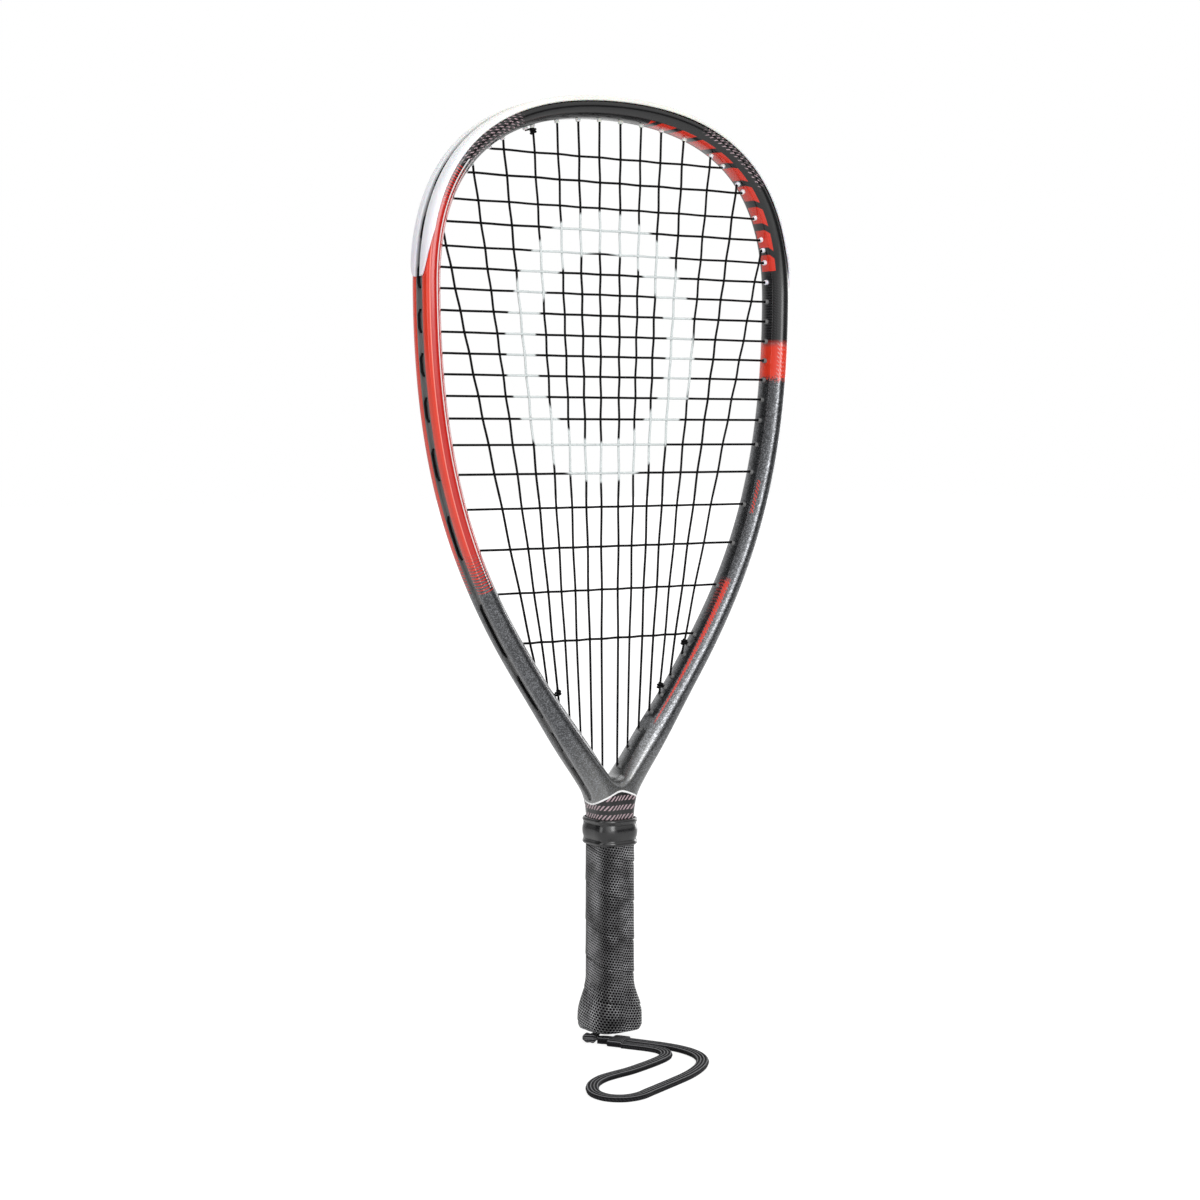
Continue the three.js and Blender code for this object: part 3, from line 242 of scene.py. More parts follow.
def skin(name, rings, along=None, across=None, closed=False, capped=True):
    """A skin of quads: a circle stands on the first ring and is extruded to each ring after it.
    along gives each ring's first map coordinate, and across each ring's list of second ones."""
    sides = len(rings[0])
    nothing_selected()
    bpy.ops.mesh.primitive_circle_add(vertices=sides, radius=0.01, location=(0, 0, 0))
    piece = bpy.context.object
    piece.name = name
    bpy.ops.object.mode_set(mode="EDIT")
    bpy.ops.mesh.select_all(action="SELECT")
    edit = bmesh.from_edit_mesh(piece.data)
    edit.verts.ensure_lookup_table()
    row = list(range(sides))
    where = {}
    for k in row:
        edit.verts[k].co = rings[0][k]
        where[k] = (0, k)
    for r, ring in enumerate(rings[1:], 1):
        bpy.ops.mesh.extrude_edges_move()
        edit = bmesh.from_edit_mesh(piece.data)
        edit.verts.ensure_lookup_table()
        fresh = []
        for k, index in enumerate(row):
            vert = next(e.other_vert(edit.verts[index]) for e in edit.verts[index].link_edges
                        if e.other_vert(edit.verts[index]).select)
            vert.co = ring[k]
            fresh.append(vert.index)
        edit.verts.index_update()
        for k, index in enumerate(fresh):
            where[index] = (r, k)
        row = fresh
    if along is not None:
        layer = edit.loops.layers.uv.verify()
        for face in edit.faces:
            spots = [where[loop.vert.index] for loop in face.loops]
            wraps = {k for _, k in spots} == {0, sides - 1} and sides > 2
            for loop, (r, k) in zip(face.loops, spots):
                own = across[r]
                loop[layer].uv = (along[r], own[sides] if wraps and k == 0 and len(own) > sides else own[k])
    bmesh.update_edit_mesh(piece.data)
    if closed:
        bpy.ops.mesh.select_all(action="DESELECT")
        bpy.ops.mesh.select_mode(type="EDGE")
        bpy.ops.mesh.select_non_manifold()
        bpy.ops.mesh.bridge_edge_loops()
    elif capped:
        bpy.ops.mesh.select_all(action="DESELECT")
        bpy.ops.mesh.select_mode(type="EDGE")
        bpy.ops.mesh.select_non_manifold()
        bpy.ops.mesh.edge_face_add()
    bpy.ops.mesh.select_mode(type="VERT")
    bpy.ops.mesh.select_all(action="SELECT")
    bpy.ops.mesh.normals_make_consistent(inside=False)
    bpy.ops.object.mode_set(mode="OBJECT")
    return piece


def halved(piece):
    """Cuts a right-hand piece at the racket's middle plane and mirrors it to the left."""
    only(piece)
    bpy.ops.object.mode_set(mode="EDIT")
    bpy.ops.mesh.select_all(action="SELECT")
    bpy.ops.mesh.bisect(plane_co=(0, 0, 0), plane_no=(1, 0, 0), clear_inner=True, threshold=0.00001)
    edit = bmesh.from_edit_mesh(piece.data)
    for vert in edit.verts:
        if abs(vert.co.x) < 0.00002:
            vert.co.x = 0.0
    bmesh.update_edit_mesh(piece.data)
    bpy.ops.mesh.select_all(action="SELECT")
    bpy.ops.mesh.remove_doubles(threshold=0.00001)
    # What lies in the plane would become a wall inside the mirrored piece.
    bpy.ops.mesh.select_mode(type="FACE")
    bpy.ops.mesh.select_all(action="DESELECT")
    edit = bmesh.from_edit_mesh(piece.data)
    for face in edit.faces:
        face.select = all(vert.co.x == 0.0 for vert in face.verts)
    bmesh.update_edit_mesh(piece.data)
    bpy.ops.mesh.delete(type="FACE")
    bpy.ops.mesh.select_mode(type="VERT")
    bpy.ops.object.mode_set(mode="OBJECT")
    modify(piece, "MIRROR", use_axis=(True, False, False), use_clip=True, merge_threshold=0.00002)
    return piece


def joined(pieces, name):
    only(*pieces)
    if len(pieces) > 1:
        bpy.ops.object.join()
    made = bpy.context.view_layer.objects.active
    made.name = name
    return made


# ---- Materials

class Look:
    """A material or a shader group that is being put together, node by node."""

    def __init__(self, name, plain=(), group=None):
        if group is None:
            self.material = bpy.data.materials.new(name)
            self.material.use_nodes = True
            self.tree = self.material.node_tree
            self.shader = next(n for n in self.tree.nodes if n.type == "BSDF_PRINCIPLED")
            for label, value in dict(plain).items():
                self.shader.inputs[label].default_value = value
            self.spot = self.node("ShaderNodeTexCoord").outputs["Object"]
        else:
            self.tree = group

    def node(self, kind, values=(), **settings):
        made = self.tree.nodes.new(kind)
        for name, value in settings.items():
            setattr(made, name, value)
        for key, value in dict(values).items():
            self.feed(made.inputs[key], value)
        return made

    def feed(self, socket, value):
        if isinstance(value, bpy.types.NodeSocket):
            self.tree.links.new(value, socket)
        else:
            socket.default_value = value

    def paint(self, **values):
        """Feeds the shader's sockets, named in capitals with _ for a space."""
        for name, value in values.items():
            self.feed(self.shader.inputs[name.replace("_", " ")], value)
        return self.material

    def maths(self, operation, *values):
        made = self.node("ShaderNodeMath", operation=operation)
        for i, value in enumerate(values):
            self.feed(made.inputs[i], value)
        return made.outputs[0]

    def parts(self, vector):
        made = self.node("ShaderNodeSeparateXYZ", {0: vector})
        return made.outputs[0], made.outputs[1], made.outputs[2]

    def vector(self, x, y, z=0.0):
        return self.node("ShaderNodeCombineXYZ", {0: x, 1: y, 2: z}).outputs[0]

    def ramp(self, value, low, high, start=0.0, end=1.0):
        made = self.node("ShaderNodeMapRange", {0: value, 1: low, 2: high, 3: start, 4: end})
        return made.outputs[0]

    def within(self, value, low, high, soft=0.0002):
        """1 between low and high, 0 outside, with soft edges."""
        far = self.maths("ABSOLUTE", self.maths("SUBTRACT", value, (low + high) / 2))
        half = (high - low) / 2
        return self.ramp(far, half + soft / 2, half - soft / 2)

    def above(self, value, level, soft=0.0002):
        return self.ramp(value, level - soft / 2, level + soft / 2)

    def all_of(self, *masks):
        whole = masks[0]
        for mask in masks[1:]:
            whole = self.maths("MULTIPLY", whole, mask)
        return whole

    def any_of(self, *masks):
        whole = masks[0]
        for mask in masks[1:]:
            whole = self.maths("MAXIMUM", whole, mask)
        return whole

    def less(self, mask):
        return self.maths("SUBTRACT", 1.0, mask)

    def over(self, mask, under, top):
        made = self.node("ShaderNodeMix", data_type="RGBA")
        self.feed(made.inputs[0], mask)
        self.feed(made.inputs[6], under)
        self.feed(made.inputs[7], top)
        return made.outputs[2]

    def noise(self, vector, scale, detail=3.0, rough=0.55):
        made = self.node("ShaderNodeTexNoise", {"Vector": vector, "Scale": scale, "Detail": detail,
                                                "Roughness": rough})
        return made.outputs["Fac"]

    def use(self, name, **values):
        made = self.node("ShaderNodeGroup", node_tree=bpy.data.node_groups[name])
        for key, value in values.items():
            self.feed(made.inputs[key.replace("_", " ")], value)
        return made.outputs

    def relief(self, height, distance, strength=1.0):
        made = self.node("ShaderNodeBump", {"Strength": strength, "Distance": distance, "Height": height})
        return made.outputs["Normal"]


def shader_group(name, inputs, outputs):
    """A named group with its sockets, and the Look that fills it."""
    group = bpy.data.node_groups.new(name, "ShaderNodeTree")
    for label, kind, value in inputs:
        socket = group.interface.new_socket(name=label, in_out="INPUT", socket_type=kind)
        if value is not None:
            socket.default_value = value
    for label, kind in outputs:
        group.interface.new_socket(name=label, in_out="OUTPUT", socket_type=kind)
    look = Look(name, group=group)
    given = group.nodes.new("NodeGroupInput").outputs
    result = group.nodes.new("NodeGroupOutput").inputs
    return look, given, result


def make_shared_effects():
    value, vector = "NodeSocketFloat", "NodeSocketVector"

    look, given, result = shader_group(
        "Surface grain", [("Vector", vector, None), ("Scale", value, 900.0), ("Wear", value, 0.3)],
        [("Height", value), ("Shade", value), ("Roughness Shift", value)])
    fine = look.noise(given["Vector"], given["Scale"], 4.0, 0.6)
    broad = look.noise(given["Vector"], look.maths("MULTIPLY", given["Scale"], 0.04), 3.0)
    look.feed(result["Height"], fine)
    look.feed(result["Shade"], look.maths("MULTIPLY_ADD", look.maths("SUBTRACT", broad, 0.5), given["Wear"], 1.0))
    look.feed(result["Roughness Shift"], look.maths(
        "MULTIPLY", look.maths("SUBTRACT", look.maths("ADD", fine, broad), 1.0), given["Wear"]))

    look, given, result = shader_group(
        "Slanted dashes",
        [("Along", value, 0.0), ("Across", value, 0.0), ("Dash Pitch", value, 0.002), ("Row Pitch", value, 0.004),
         ("Slant", value, 1.0), ("Fill", value, 0.5), ("Row Fill", value, 0.6)],
        [("Mask", value)])
    row = look.maths("DIVIDE", given["Across"], given["Row Pitch"])
    shifted = look.maths("MULTIPLY_ADD", look.maths("FLOOR", row), 0.37, look.maths(
        "DIVIDE", look.maths("MULTIPLY_ADD", given["Slant"], given["Across"], given["Along"]), given["Dash Pitch"]))
    near = look.maths("ABSOLUTE", look.maths("SUBTRACT", look.maths("FRACT", shifted), 0.5))
    dash = look.node("ShaderNodeMapRange", {
        0: look.maths("SUBTRACT", look.maths("MULTIPLY", given["Fill"], 0.5), near), 1: -0.05, 2: 0.05}).outputs[0]
    aside = look.maths("ABSOLUTE", look.maths("SUBTRACT", look.maths("FRACT", row), 0.5))
    band = look.node("ShaderNodeMapRange", {
        0: look.maths("SUBTRACT", look.maths("MULTIPLY", given["Row Fill"], 0.5), aside), 1: -0.04, 2: 0.04}).outputs[0]
    look.feed(result["Mask"], look.maths("MULTIPLY", dash, band))

    look, given, result = shader_group(
        "Metal flake", [("Vector", vector, None), ("Scale", value, 2600.0), ("Amount", value, 0.35)],
        [("Mask", value), ("Height", value)])
    cells = look.node("ShaderNodeTexVoronoi", {"Vector": given["Vector"], "Scale": given["Scale"]})
    bright = look.parts(cells.outputs["Color"])[0]
    look.feed(result["Mask"], look.node("ShaderNodeMapRange", {
        0: bright, 1: look.maths("SUBTRACT", 1.0, given["Amount"]), 2: 1.0}).outputs[0])
    look.feed(result["Height"], bright)

    look, given, result = shader_group(
        "Braided yarn",
        [("Along", value, 0.0), ("Across", value, 0.0), ("Stitch", value, 0.0016), ("Yarn", value, 0.0008)],
        [("Height", value), ("Shade", value)])
    column = look.maths("DIVIDE", given["Across"], given["Yarn"])
    lean = look.maths("SUBTRACT", look.maths("PINGPONG", column, 1.0), 0.5)
    turn = look.maths("ADD", look.maths("DIVIDE", given["Along"], given["Stitch"]), look.maths("MULTIPLY", lean, 1.1))
    knit = look.maths("ABSOLUTE", look.maths("SINE", look.maths("MULTIPLY", turn, math.pi)))
    valley = look.maths("SUBTRACT", 1.0, look.maths("MULTIPLY", look.maths("ABSOLUTE", lean), 1.2))
    height = look.maths("MULTIPLY", look.maths("POWER", knit, 0.6), look.maths("MAXIMUM", valley, 0.1))
    look.feed(result["Height"], height)
    # Shade darkens the yarn in the knit's valleys: painted shade.
    look.feed(result["Shade"], look.maths("MULTIPLY_ADD", height, 0.9, 0.35))


def lacquer(colours):
    """The tube's paint, laid out by the distance up the tube from the throat and the place round its section."""
    look = Look("Frame lacquer", {"Coat Weight": 0.55, "Coat Roughness": 0.10, "Specular IOR Level": 0.4})
    x, y, z = look.parts(look.spot)
    run, share, _ = look.parts(look.node("ShaderNodeUVMap", uv_map="Tube").outputs[0])
    right = look.maths("GREATER_THAN", x, 0.0)
    left = look.less(right)
    front = look.maths("ABSOLUTE", y)
    across = look.maths("MULTIPLY", share, 0.007)
    grain = look.use("Surface grain", Vector=look.spot, Scale=1500.0, Wear=0.35)
    flake = look.use("Metal flake", Vector=look.spot, Scale=1900.0, Amount=0.55)
    speck = look.noise(look.spot, 1300.0, 2.0)

    silver = tuple(min(1.0, c * 5.0) for c in colours.gunmetal[:3]) + (1.0,)
    metal = look.over(look.maths("MULTIPLY", flake["Mask"], look.ramp(run, 0.05, -0.02, 0.7, 1.0)),
                      look.over(look.ramp(run, 0.04, -0.025), colours.gunmetal, colours.throat), silver)
    carbon_dash = look.use("Slanted dashes", Along=run, Across=across, Dash_Pitch=0.0017, Row_Pitch=0.0016,
                           Slant=1.0, Fill=0.5, Row_Fill=0.7)["Mask"]
    carbon_zone = look.all_of(right, look.within(run, 0.2935, 0.336, 0.02))
    carbon = tuple(min(1.0, c * 4.0) for c in colours.black[:3]) + (1.0,)
    black = look.over(look.all_of(carbon_zone, carbon_dash), colours.black, carbon)

    # Where the red runs out into bars across the tube: thin at the far end, whole at the near end.
    bars = look.maths("FRACT", look.maths("DIVIDE", run, 0.0018))
    upper = look.ramp(run, 0.3900, 0.3600, 0.30, 1.02)
    lower = look.ramp(run, 0.1410, 0.1680, 0.25, 1.02)
    thick = look.maths("MINIMUM", upper, lower)
    barred = look.ramp(look.maths("SUBTRACT", thick, bars), -0.06, 0.06)
    red_left = look.all_of(left, look.within(run, 0.1410, 0.3900), barred)
    ragged = look.maths("MULTIPLY_ADD", look.maths("SUBTRACT", speck, 0.5), 0.012, run)
    scales = look.use("Slanted dashes", Along=run, Across=across, Dash_Pitch=0.0026, Row_Pitch=0.0022,
                      Slant=0.9, Fill=0.34, Row_Fill=0.7)["Mask"]
    red_right = look.all_of(right, look.within(ragged, 0.2710, 0.3500, 0.003), look.ramp(run, 0.2955, 0.2905))

    flank = look.any_of(look.all_of(left, look.above(run, 0.3690)), look.all_of(right, look.above(run, 0.2935)))
    colour = look.over(flank, metal, black)
    red = look.over(look.maths("MULTIPLY", look.noise(look.spot, 40.0), 0.25), colours.red,
                    (0.80, 0.10, 0.05, 1.0))
    scaled = look.all_of(scales, look.above(speck, 0.45, 0.1), look.within(share, -0.55, 0.15, 0.25))
    pale_red = look.over(look.maths("MULTIPLY", scaled, 0.7), red, (0.62, 0.40, 0.38, 1.0))
    red_fade_and_painted_light = look.over(look.maths("MINIMUM", upper, lower), (0.36, 0.012, 0.010, 1.0), red)
    # Painted light on the left red: the face next to the ridge is painted a deeper red as painted shade, and its crease
    # with the outer face is painted pale as a painted highlight.
    red_fade_and_painted_light = look.over(look.ramp(share, 0.72, 0.64), red_fade_and_painted_light, (0.45, 0.009, 0.004, 1.0))
    painted_crease_highlight = look.within(share, 0.66, 0.74, 0.04)
    red_fade_and_painted_light = look.over(look.maths("MULTIPLY", painted_crease_highlight, 0.45), red_fade_and_painted_light, (0.95, 0.45, 0.38, 1.0))
    colour = look.over(red_left, colour, red_fade_and_painted_light)
    colour = look.over(red_right, colour, pale_red)

    # Flecked fields on both shoulders.
    flecks = look.use("Slanted dashes", Along=run, Across=across, Dash_Pitch=0.0036, Row_Pitch=0.0025,
                      Slant=1.15, Fill=0.27, Row_Fill=0.70)["Mask"]
    field = look.any_of(look.all_of(left, look.within(run, 0.3925, 0.4400, 0.006), look.above(share, -0.75, 0.1)),
                        look.all_of(right, look.within(run, 0.3930, 0.4450, 0.006), look.above(share, -0.30, 0.1)))
    marked = look.all_of(field, flecks, look.above(speck, 0.42, 0.06))
    colour = look.over(look.maths("MULTIPLY", marked, 0.9), colour, colours.fleck)

    # Plain slanted blocks along the right inner bevel, and a row of short ticks lower down.
    lean = look.maths("MULTIPLY_ADD", share, 0.010, run)
    block = look.maths("FRACT", look.maths("DIVIDE", lean, 0.0163))
    blocks = look.all_of(right, look.within(run, 0.3385, 0.4850), look.less(look.above(share, -0.70, 0.03)),
                         look.within(y, -0.0074, 0.0040, 0.0003), look.within(block, 0.10, 0.80, 0.04))
    tick = look.maths("FRACT", look.maths("DIVIDE", lean, 0.0024))
    ticks = look.all_of(right, look.within(run, 0.1845, 0.2060), look.within(share, -0.86, -0.64, 0.04),
                        look.within(tick, 0.2, 0.75, 0.1), look.maths("LESS_THAN", y, 0.0))
    taper = look.ramp(run, 0.036, 0.140, 0.012, 0.09)
    off_line = look.maths("ABSOLUTE", look.maths("SUBTRACT", share, -0.82))
    hatch = look.within(look.maths("FRACT", look.maths("DIVIDE", lean, 0.0022)), 0.0, 0.62, 0.1)
    core = look.ramp(look.maths("SUBTRACT", taper, off_line), -0.02, 0.02)
    edge = look.ramp(look.maths("SUBTRACT", look.maths("MULTIPLY", taper, 2.1), off_line), -0.04, 0.04)
    stripe = look.all_of(right, look.within(run, 0.0370, 0.1390, 0.004), look.maths("LESS_THAN", y, 0.0),
                         look.any_of(look.maths("MULTIPLY", core, 0.85), look.all_of(edge, hatch)))
    marks = look.any_of(blocks, look.maths("MULTIPLY", ticks, 0.8), stripe)
    colour = look.over(marks, colour, colours.red)

    # Pin stripe down the left ridge, then the wave line and the dashed black neck below it.
    pin = look.all_of(left, look.within(run, 0.1440, 0.3960), look.within(share, -0.11, 0.03, 0.04))
    colour = look.over(look.maths("MULTIPLY", pin, 0.9), colour, colours.white)
    square_x, square_y = look.maths("MULTIPLY", x, x), look.maths("MULTIPLY", y, y)
    twice = look.maths("DIVIDE", look.maths("SUBTRACT", square_y, square_x), look.maths("ADD", square_x, square_y))
    climb = look.maths("SUBTRACT", z, look.maths("MULTIPLY_ADD", twice, 0.0040, 0.0813))
    turned = look.maths("MULTIPLY", look.maths("ARCTAN2", x, look.maths("MULTIPLY", y, -1.0)), 0.0125)
    rope = look.use("Slanted dashes", Along=turned, Across=z, Dash_Pitch=0.0023, Row_Pitch=0.0056,
                    Slant=-0.8, Fill=0.42, Row_Fill=0.52)["Mask"]
    below = look.less(look.above(climb, 0.0))
    colour = look.over(below, colour, look.over(look.maths("MULTIPLY", rope, 0.85), colours.black, colours.fleck))
    wave = look.within(climb, -0.00055, 0.00055, 0.0003)
    colour = look.over(wave, colour, colours.white)

    printed = look.any_of(flank, red_left, red_right, below, marks, wave)
    plain_metal = look.less(printed)
    peel = look.maths("MULTIPLY_ADD", grain["Height"], 0.35, look.maths(
        "MULTIPLY", look.maths("MULTIPLY", flake["Height"], plain_metal), 0.65))
    shine = look.maths("ADD", look.maths("MULTIPLY_ADD", plain_metal, 0.04, 0.22), look.maths(
        "MULTIPLY", grain["Roughness Shift"], 0.3))
    return look.paint(Base_Color=colour, Roughness=shine, Metallic=look.maths("MULTIPLY", plain_metal, 0.88),
                      Normal=look.relief(peel, 0.00008, 0.09))


def clear_guard(colours):
    look = Look("Clear-white guard", {"IOR": 1.49, "Coat Weight": 0.2, "Coat Roughness": 0.2,
                                      "Subsurface Weight": 0.12, "Subsurface Scale": 0.002})
    grain = look.use("Surface grain", Vector=look.spot, Scale=1100.0, Wear=0.4)
    x, y, z = look.parts(look.spot)
    streak = look.noise(look.vector(x, look.maths("MULTIPLY", y, 14.0), z), 60.0)
    # Over the crown the guard turns to its lighter, warmer top colour: a painted highlight.
    colour = look.over(look.ramp(z, 0.455, 0.488), colours.guard, colours.guard_top_highlight)
    colour = look.over(look.ramp(z, 0.440, 0.392), colour, colours.guard_foot)
    colour = look.over(look.ramp(streak, 0.35, 0.75, 0.0, 0.35), colour, (0.62, 0.61, 0.66, 1.0))
    _, out, _ = look.parts(look.node("ShaderNodeUVMap", uv_map="UVMap").outputs[0])
    # The lane down the guard's channel is painted near black: painted shade in the groove.
    lane = look.all_of(look.maths("LESS_THAN", look.maths("ABSOLUTE", y), 0.00262),
                       look.maths("GREATER_THAN", out, 2.0), look.ramp(out, BUMPER_CROWN + HOOP[0], HOOP[0] - 1))
    colour = look.over(look.maths("MULTIPLY", lane, 0.85), colour, (0.03, 0.03, 0.03, 1.0))
    return look.paint(Base_Color=colour, Roughness=look.maths("MULTIPLY_ADD", grain["Roughness Shift"], 0.3, 0.36),
                      Normal=look.relief(grain["Height"], 0.00006, 0.15))


def moulded(name, colour, roughness, scale=1200.0, wear=0.4, coat=0.0):
    look = Look(name, {"Coat Weight": coat, "Coat Roughness": 0.25})
    grain = look.use("Surface grain", Vector=look.spot, Scale=scale, Wear=wear)
    pale = tuple(min(1.0, c * 1.6 + 0.004) for c in colour[:3]) + (1.0,)
    shade = look.over(look.ramp(grain["Shade"], 0.9, 1.15), colour, pale)
    return look.paint(Base_Color=shade, Normal=look.relief(grain["Height"], 0.00012, 0.45),
                      Roughness=look.maths("MULTIPLY_ADD", grain["Roughness Shift"], 0.35, roughness))


def string_polymer(colours):
    """Black strings with a plain white ring stencilled on them."""
    look = Look("String polymer", {"Specular IOR Level": 0.06})
    x, _, z = look.parts(look.spot)
    aside = look.maths("DIVIDE", look.maths("SUBTRACT", x, -0.006), 0.068)
    high = look.maths("DIVIDE", look.maths("SUBTRACT", z, 0.350), 0.080)
    far = look.maths("SQRT", look.maths("ADD", look.maths("MULTIPLY", aside, aside), look.maths("MULTIPLY", high, high)))
    grain = look.use("Surface grain", Vector=look.spot, Scale=2200.0, Wear=0.5)
    patchy = look.noise(look.spot, 500.0, 2.0)
    ink = look.all_of(look.within(far, 0.70, 1.0, 0.02), look.ramp(patchy, 0.22, 0.40, 0.8, 0.97))
    colour = look.over(ink, colours.string, colours.ink)
    return look.paint(Base_Color=colour, Normal=look.relief(grain["Height"], 0.00005, 0.4),
                      Roughness=look.maths("MULTIPLY_ADD", ink, 0.2, 0.45))


def perforated_skin(colours, pitch):
    """The wrap's skin: a slanting grid of small holes with raised walls between them."""
    look = Look("Perforated grip skin", {"Specular IOR Level": 0.6, "Coat Roughness": 0.22})
    around, up, _ = look.parts(look.node("ShaderNodeUVMap", uv_map="Wrap").outputs[0])
    slope = look.maths("MULTIPLY_ADD", around, -0.18, up)
    column = look.maths("DIVIDE", around, pitch)
    row = look.maths("DIVIDE", slope, pitch * 0.9)
    odd = look.maths("MULTIPLY", look.maths("FLOOR", row), 0.5)
    across = look.maths("SUBTRACT", look.maths("FRACT", look.maths("ADD", column, odd)), 0.5)
    rise = look.maths("SUBTRACT", look.maths("FRACT", row), 0.5)
    far = look.maths("SQRT", look.maths("ADD", look.maths("MULTIPLY", across, across), look.maths("MULTIPLY", rise, rise)))
    hole = look.ramp(far, 0.42, 0.32)
    wall = look.ramp(far, 0.26, 0.56)
    grain = look.use("Surface grain", Vector=look.spot, Scale=1800.0, Wear=0.6)
    # The walls' pale colour, laid on in noise patches and on the flats, is a painted sheen.
    pale = tuple(min(1.0, c * 38.0) for c in colours.grip[:3]) + (1.0,)
    painted_sheen_patches = look.ramp(look.noise(look.spot, 70.0, 2.0), 0.36, 0.64, 0.20, 1.0)
    # Painted light: the four wide flats are painted paler than the bevels between them, standing in for how the light
    # falls on the facets.
    x, y, _ = look.parts(look.spot)
    turn = look.maths("ARCTAN2", x, look.maths("MULTIPLY", y, -1.0))
    painted_facet_light = look.ramp(look.maths("COSINE", look.maths("MULTIPLY", turn, 4.0)), -1.0, 0.2, 0.22, 1.0)
    colour = look.over(look.all_of(wall, painted_sheen_patches, painted_facet_light, look.ramp(grain["Shade"], 0.8, 1.2, 0.6, 1.0)), colours.grip,
                       pale)
    colour = look.over(hole, colour, (0.002, 0.002, 0.002, 1.0))
    height = look.maths("ADD", wall, look.maths("MULTIPLY", grain["Height"], 0.25))
    return look.paint(Base_Color=colour, Normal=look.relief(height, 0.0006, 1.0),
                      Roughness=look.maths("MULTIPLY_ADD", hole, 0.6, 0.22),
                      Metallic=look.any_of(hole, look.maths("MULTIPLY", wall, 0.6)),
                      Coat_Weight=look.maths("MULTIPLY", look.less(hole), 0.5))


def braided(colours):
    look = Look("Lanyard braid", {"Sheen Weight": 0.02, "Sheen Roughness": 0.4, "Specular IOR Level": 0.12})
    along, across, _ = look.parts(look.node("ShaderNodeUVMap", uv_map="Braid").outputs[0])
    yarn = look.use("Braided yarn", Along=along, Across=across, Stitch=0.0017, Yarn=0.0008)
    grain = look.use("Surface grain", Vector=look.spot, Scale=2400.0, Wear=0.6)
    pale = tuple(min(1.0, c * 9.0) for c in colours.braid[:3]) + (1.0,)
    # The yarn's valleys are painted darker than its crests: painted shade.
    colour = look.over(look.ramp(yarn["Shade"], 0.75, 1.25), colours.braid, pale)
    crest = look.within(look.maths("FRACT", look.maths("DIVIDE", across, RIB_PITCH)), 0.38, 0.62, 0.2)
    colour = look.over(look.maths("MULTIPLY", crest, 0.9), colour, (0.26, 0.26, 0.27, 1.0))
    height = look.maths("MULTIPLY_ADD", grain["Height"], 0.3, yarn["Height"])
    return look.paint(Base_Color=colour, Normal=look.relief(height, 0.00035, 0.8),
                      Roughness=look.maths("MULTIPLY_ADD", grain["Roughness Shift"], 0.3, 0.72))


# ---- The tube's middle line, from the foot of the leg in the handle up to the middle of the crown

def on_bezier(corners, share):
    a, b, c, d = corners
    rest = 1 - share
    return a * rest ** 3 + b * 3 * rest * rest * share + c * 3 * rest * share * share + d * share ** 3


def evenly(corners, count, first):
    """Points at even distances along a curve, each with its heading."""
    fine = [on_bezier(corners, i / 400) for i in range(401)]
    reach = [0.0]
    for a, b in zip(fine, fine[1:]):
        reach.append(reach[-1] + (b - a).length)
    found = []
    k = 0
    for i in range(0 if first else 1, count + 1):
        target = reach[-1] * i / count
        while k < 399 and reach[k + 1] < target:
            k += 1
        share = (target - reach[k]) / max(1e-9, reach[k + 1] - reach[k])
        found.append((fine[k].lerp(fine[k + 1], share), (fine[k + 1] - fine[k]).normalized()))
    return found


def tube_sizes(height):
    levels = (
        (LEG_FOOT, LEG), (LEG_TOP, LEG), (NECK_FOOT, NECK), (NECK_BEND + 13, NECK),
        (THROAT_HEIGHT + 12, THROAT), (215.0, FLANK), (285.0, HOOP), (HOOP_TOP, HOOP),
    )
    for (low, small), (high, large) in zip(levels, levels[1:]):
        if height <= high:
            share = smooth(height, low, high)
            return mix(small[0], large[0], share), mix(small[1], large[1], share)
    return HOOP


def shares_at(height):
    """The section's corner shares at a height: the neck's ease into the hoop's as the legs part."""
    blend = smooth(height, NECK_BEND + 13, THROAT_HEIGHT + 30)
    return {name: mix(share, HOOP_SHARES[name], blend) for name, share in NECK_SHARES.items()}


def tube_stations():
    def line(x0, z0, x1, z1):
        a, b = Vector((x0, z0)), Vector((x1, z1))
        return (a, a.lerp(b, 1 / 3), a.lerp(b, 2 / 3), b)

    heading = Vector((math.sin(THROAT_ANGLE), math.cos(THROAT_ANGLE)))
    throat = Vector((11.75, THROAT_HEIGHT))
    crown = (Vector((HOOP_HALF_SPAN, WIDEST)), Vector((HOOP_HALF_SPAN, WIDEST + 52.4)),
             Vector((103.7, HOOP_TOP)), Vector((0.0, HOOP_TOP)))
    flank = (throat, throat + heading * 108, Vector((HOOP_HALF_SPAN, WIDEST - 151)), crown[0])
    neck = (Vector((4.2, NECK_BEND)), Vector((4.2, NECK_BEND + 13)), throat - heading * 12, throat)
    curves = ((line(3.5, LEG_FOOT, 3.5, LEG_TOP), 3), (line(3.5, LEG_TOP, 4.2, NECK_BEND), 6),
              (neck, 22), (flank, 84), (crown, 60))
    stations = []
    for corners, count in curves:
        for centre, way in evenly(corners, count, not stations):
            width, depth = tube_sizes(centre.y)
            groove = GROOVE * smooth(centre.y - way.x * width, GROOVE_END, GROOVE_END + 2.5)
            stations.append({"centre": centre, "out": Vector((way.y, -way.x)), "width": width, "depth": depth,
                             "groove": groove, "shares": shares_at(centre.y)})
    stations[-1]["out"] = Vector((0.0, 1.0))
    throat_number = 3 + 6 + 22
    run = [0.0]
    for a, b in zip(stations, stations[1:]):
        run.append(run[-1] + (b["centre"] - a["centre"]).length)
    for station, distance in zip(stations, run):
        station["run"] = distance - run[throat_number]
    return stations, throat_number


STATIONS, THROAT_STATION = tube_stations()


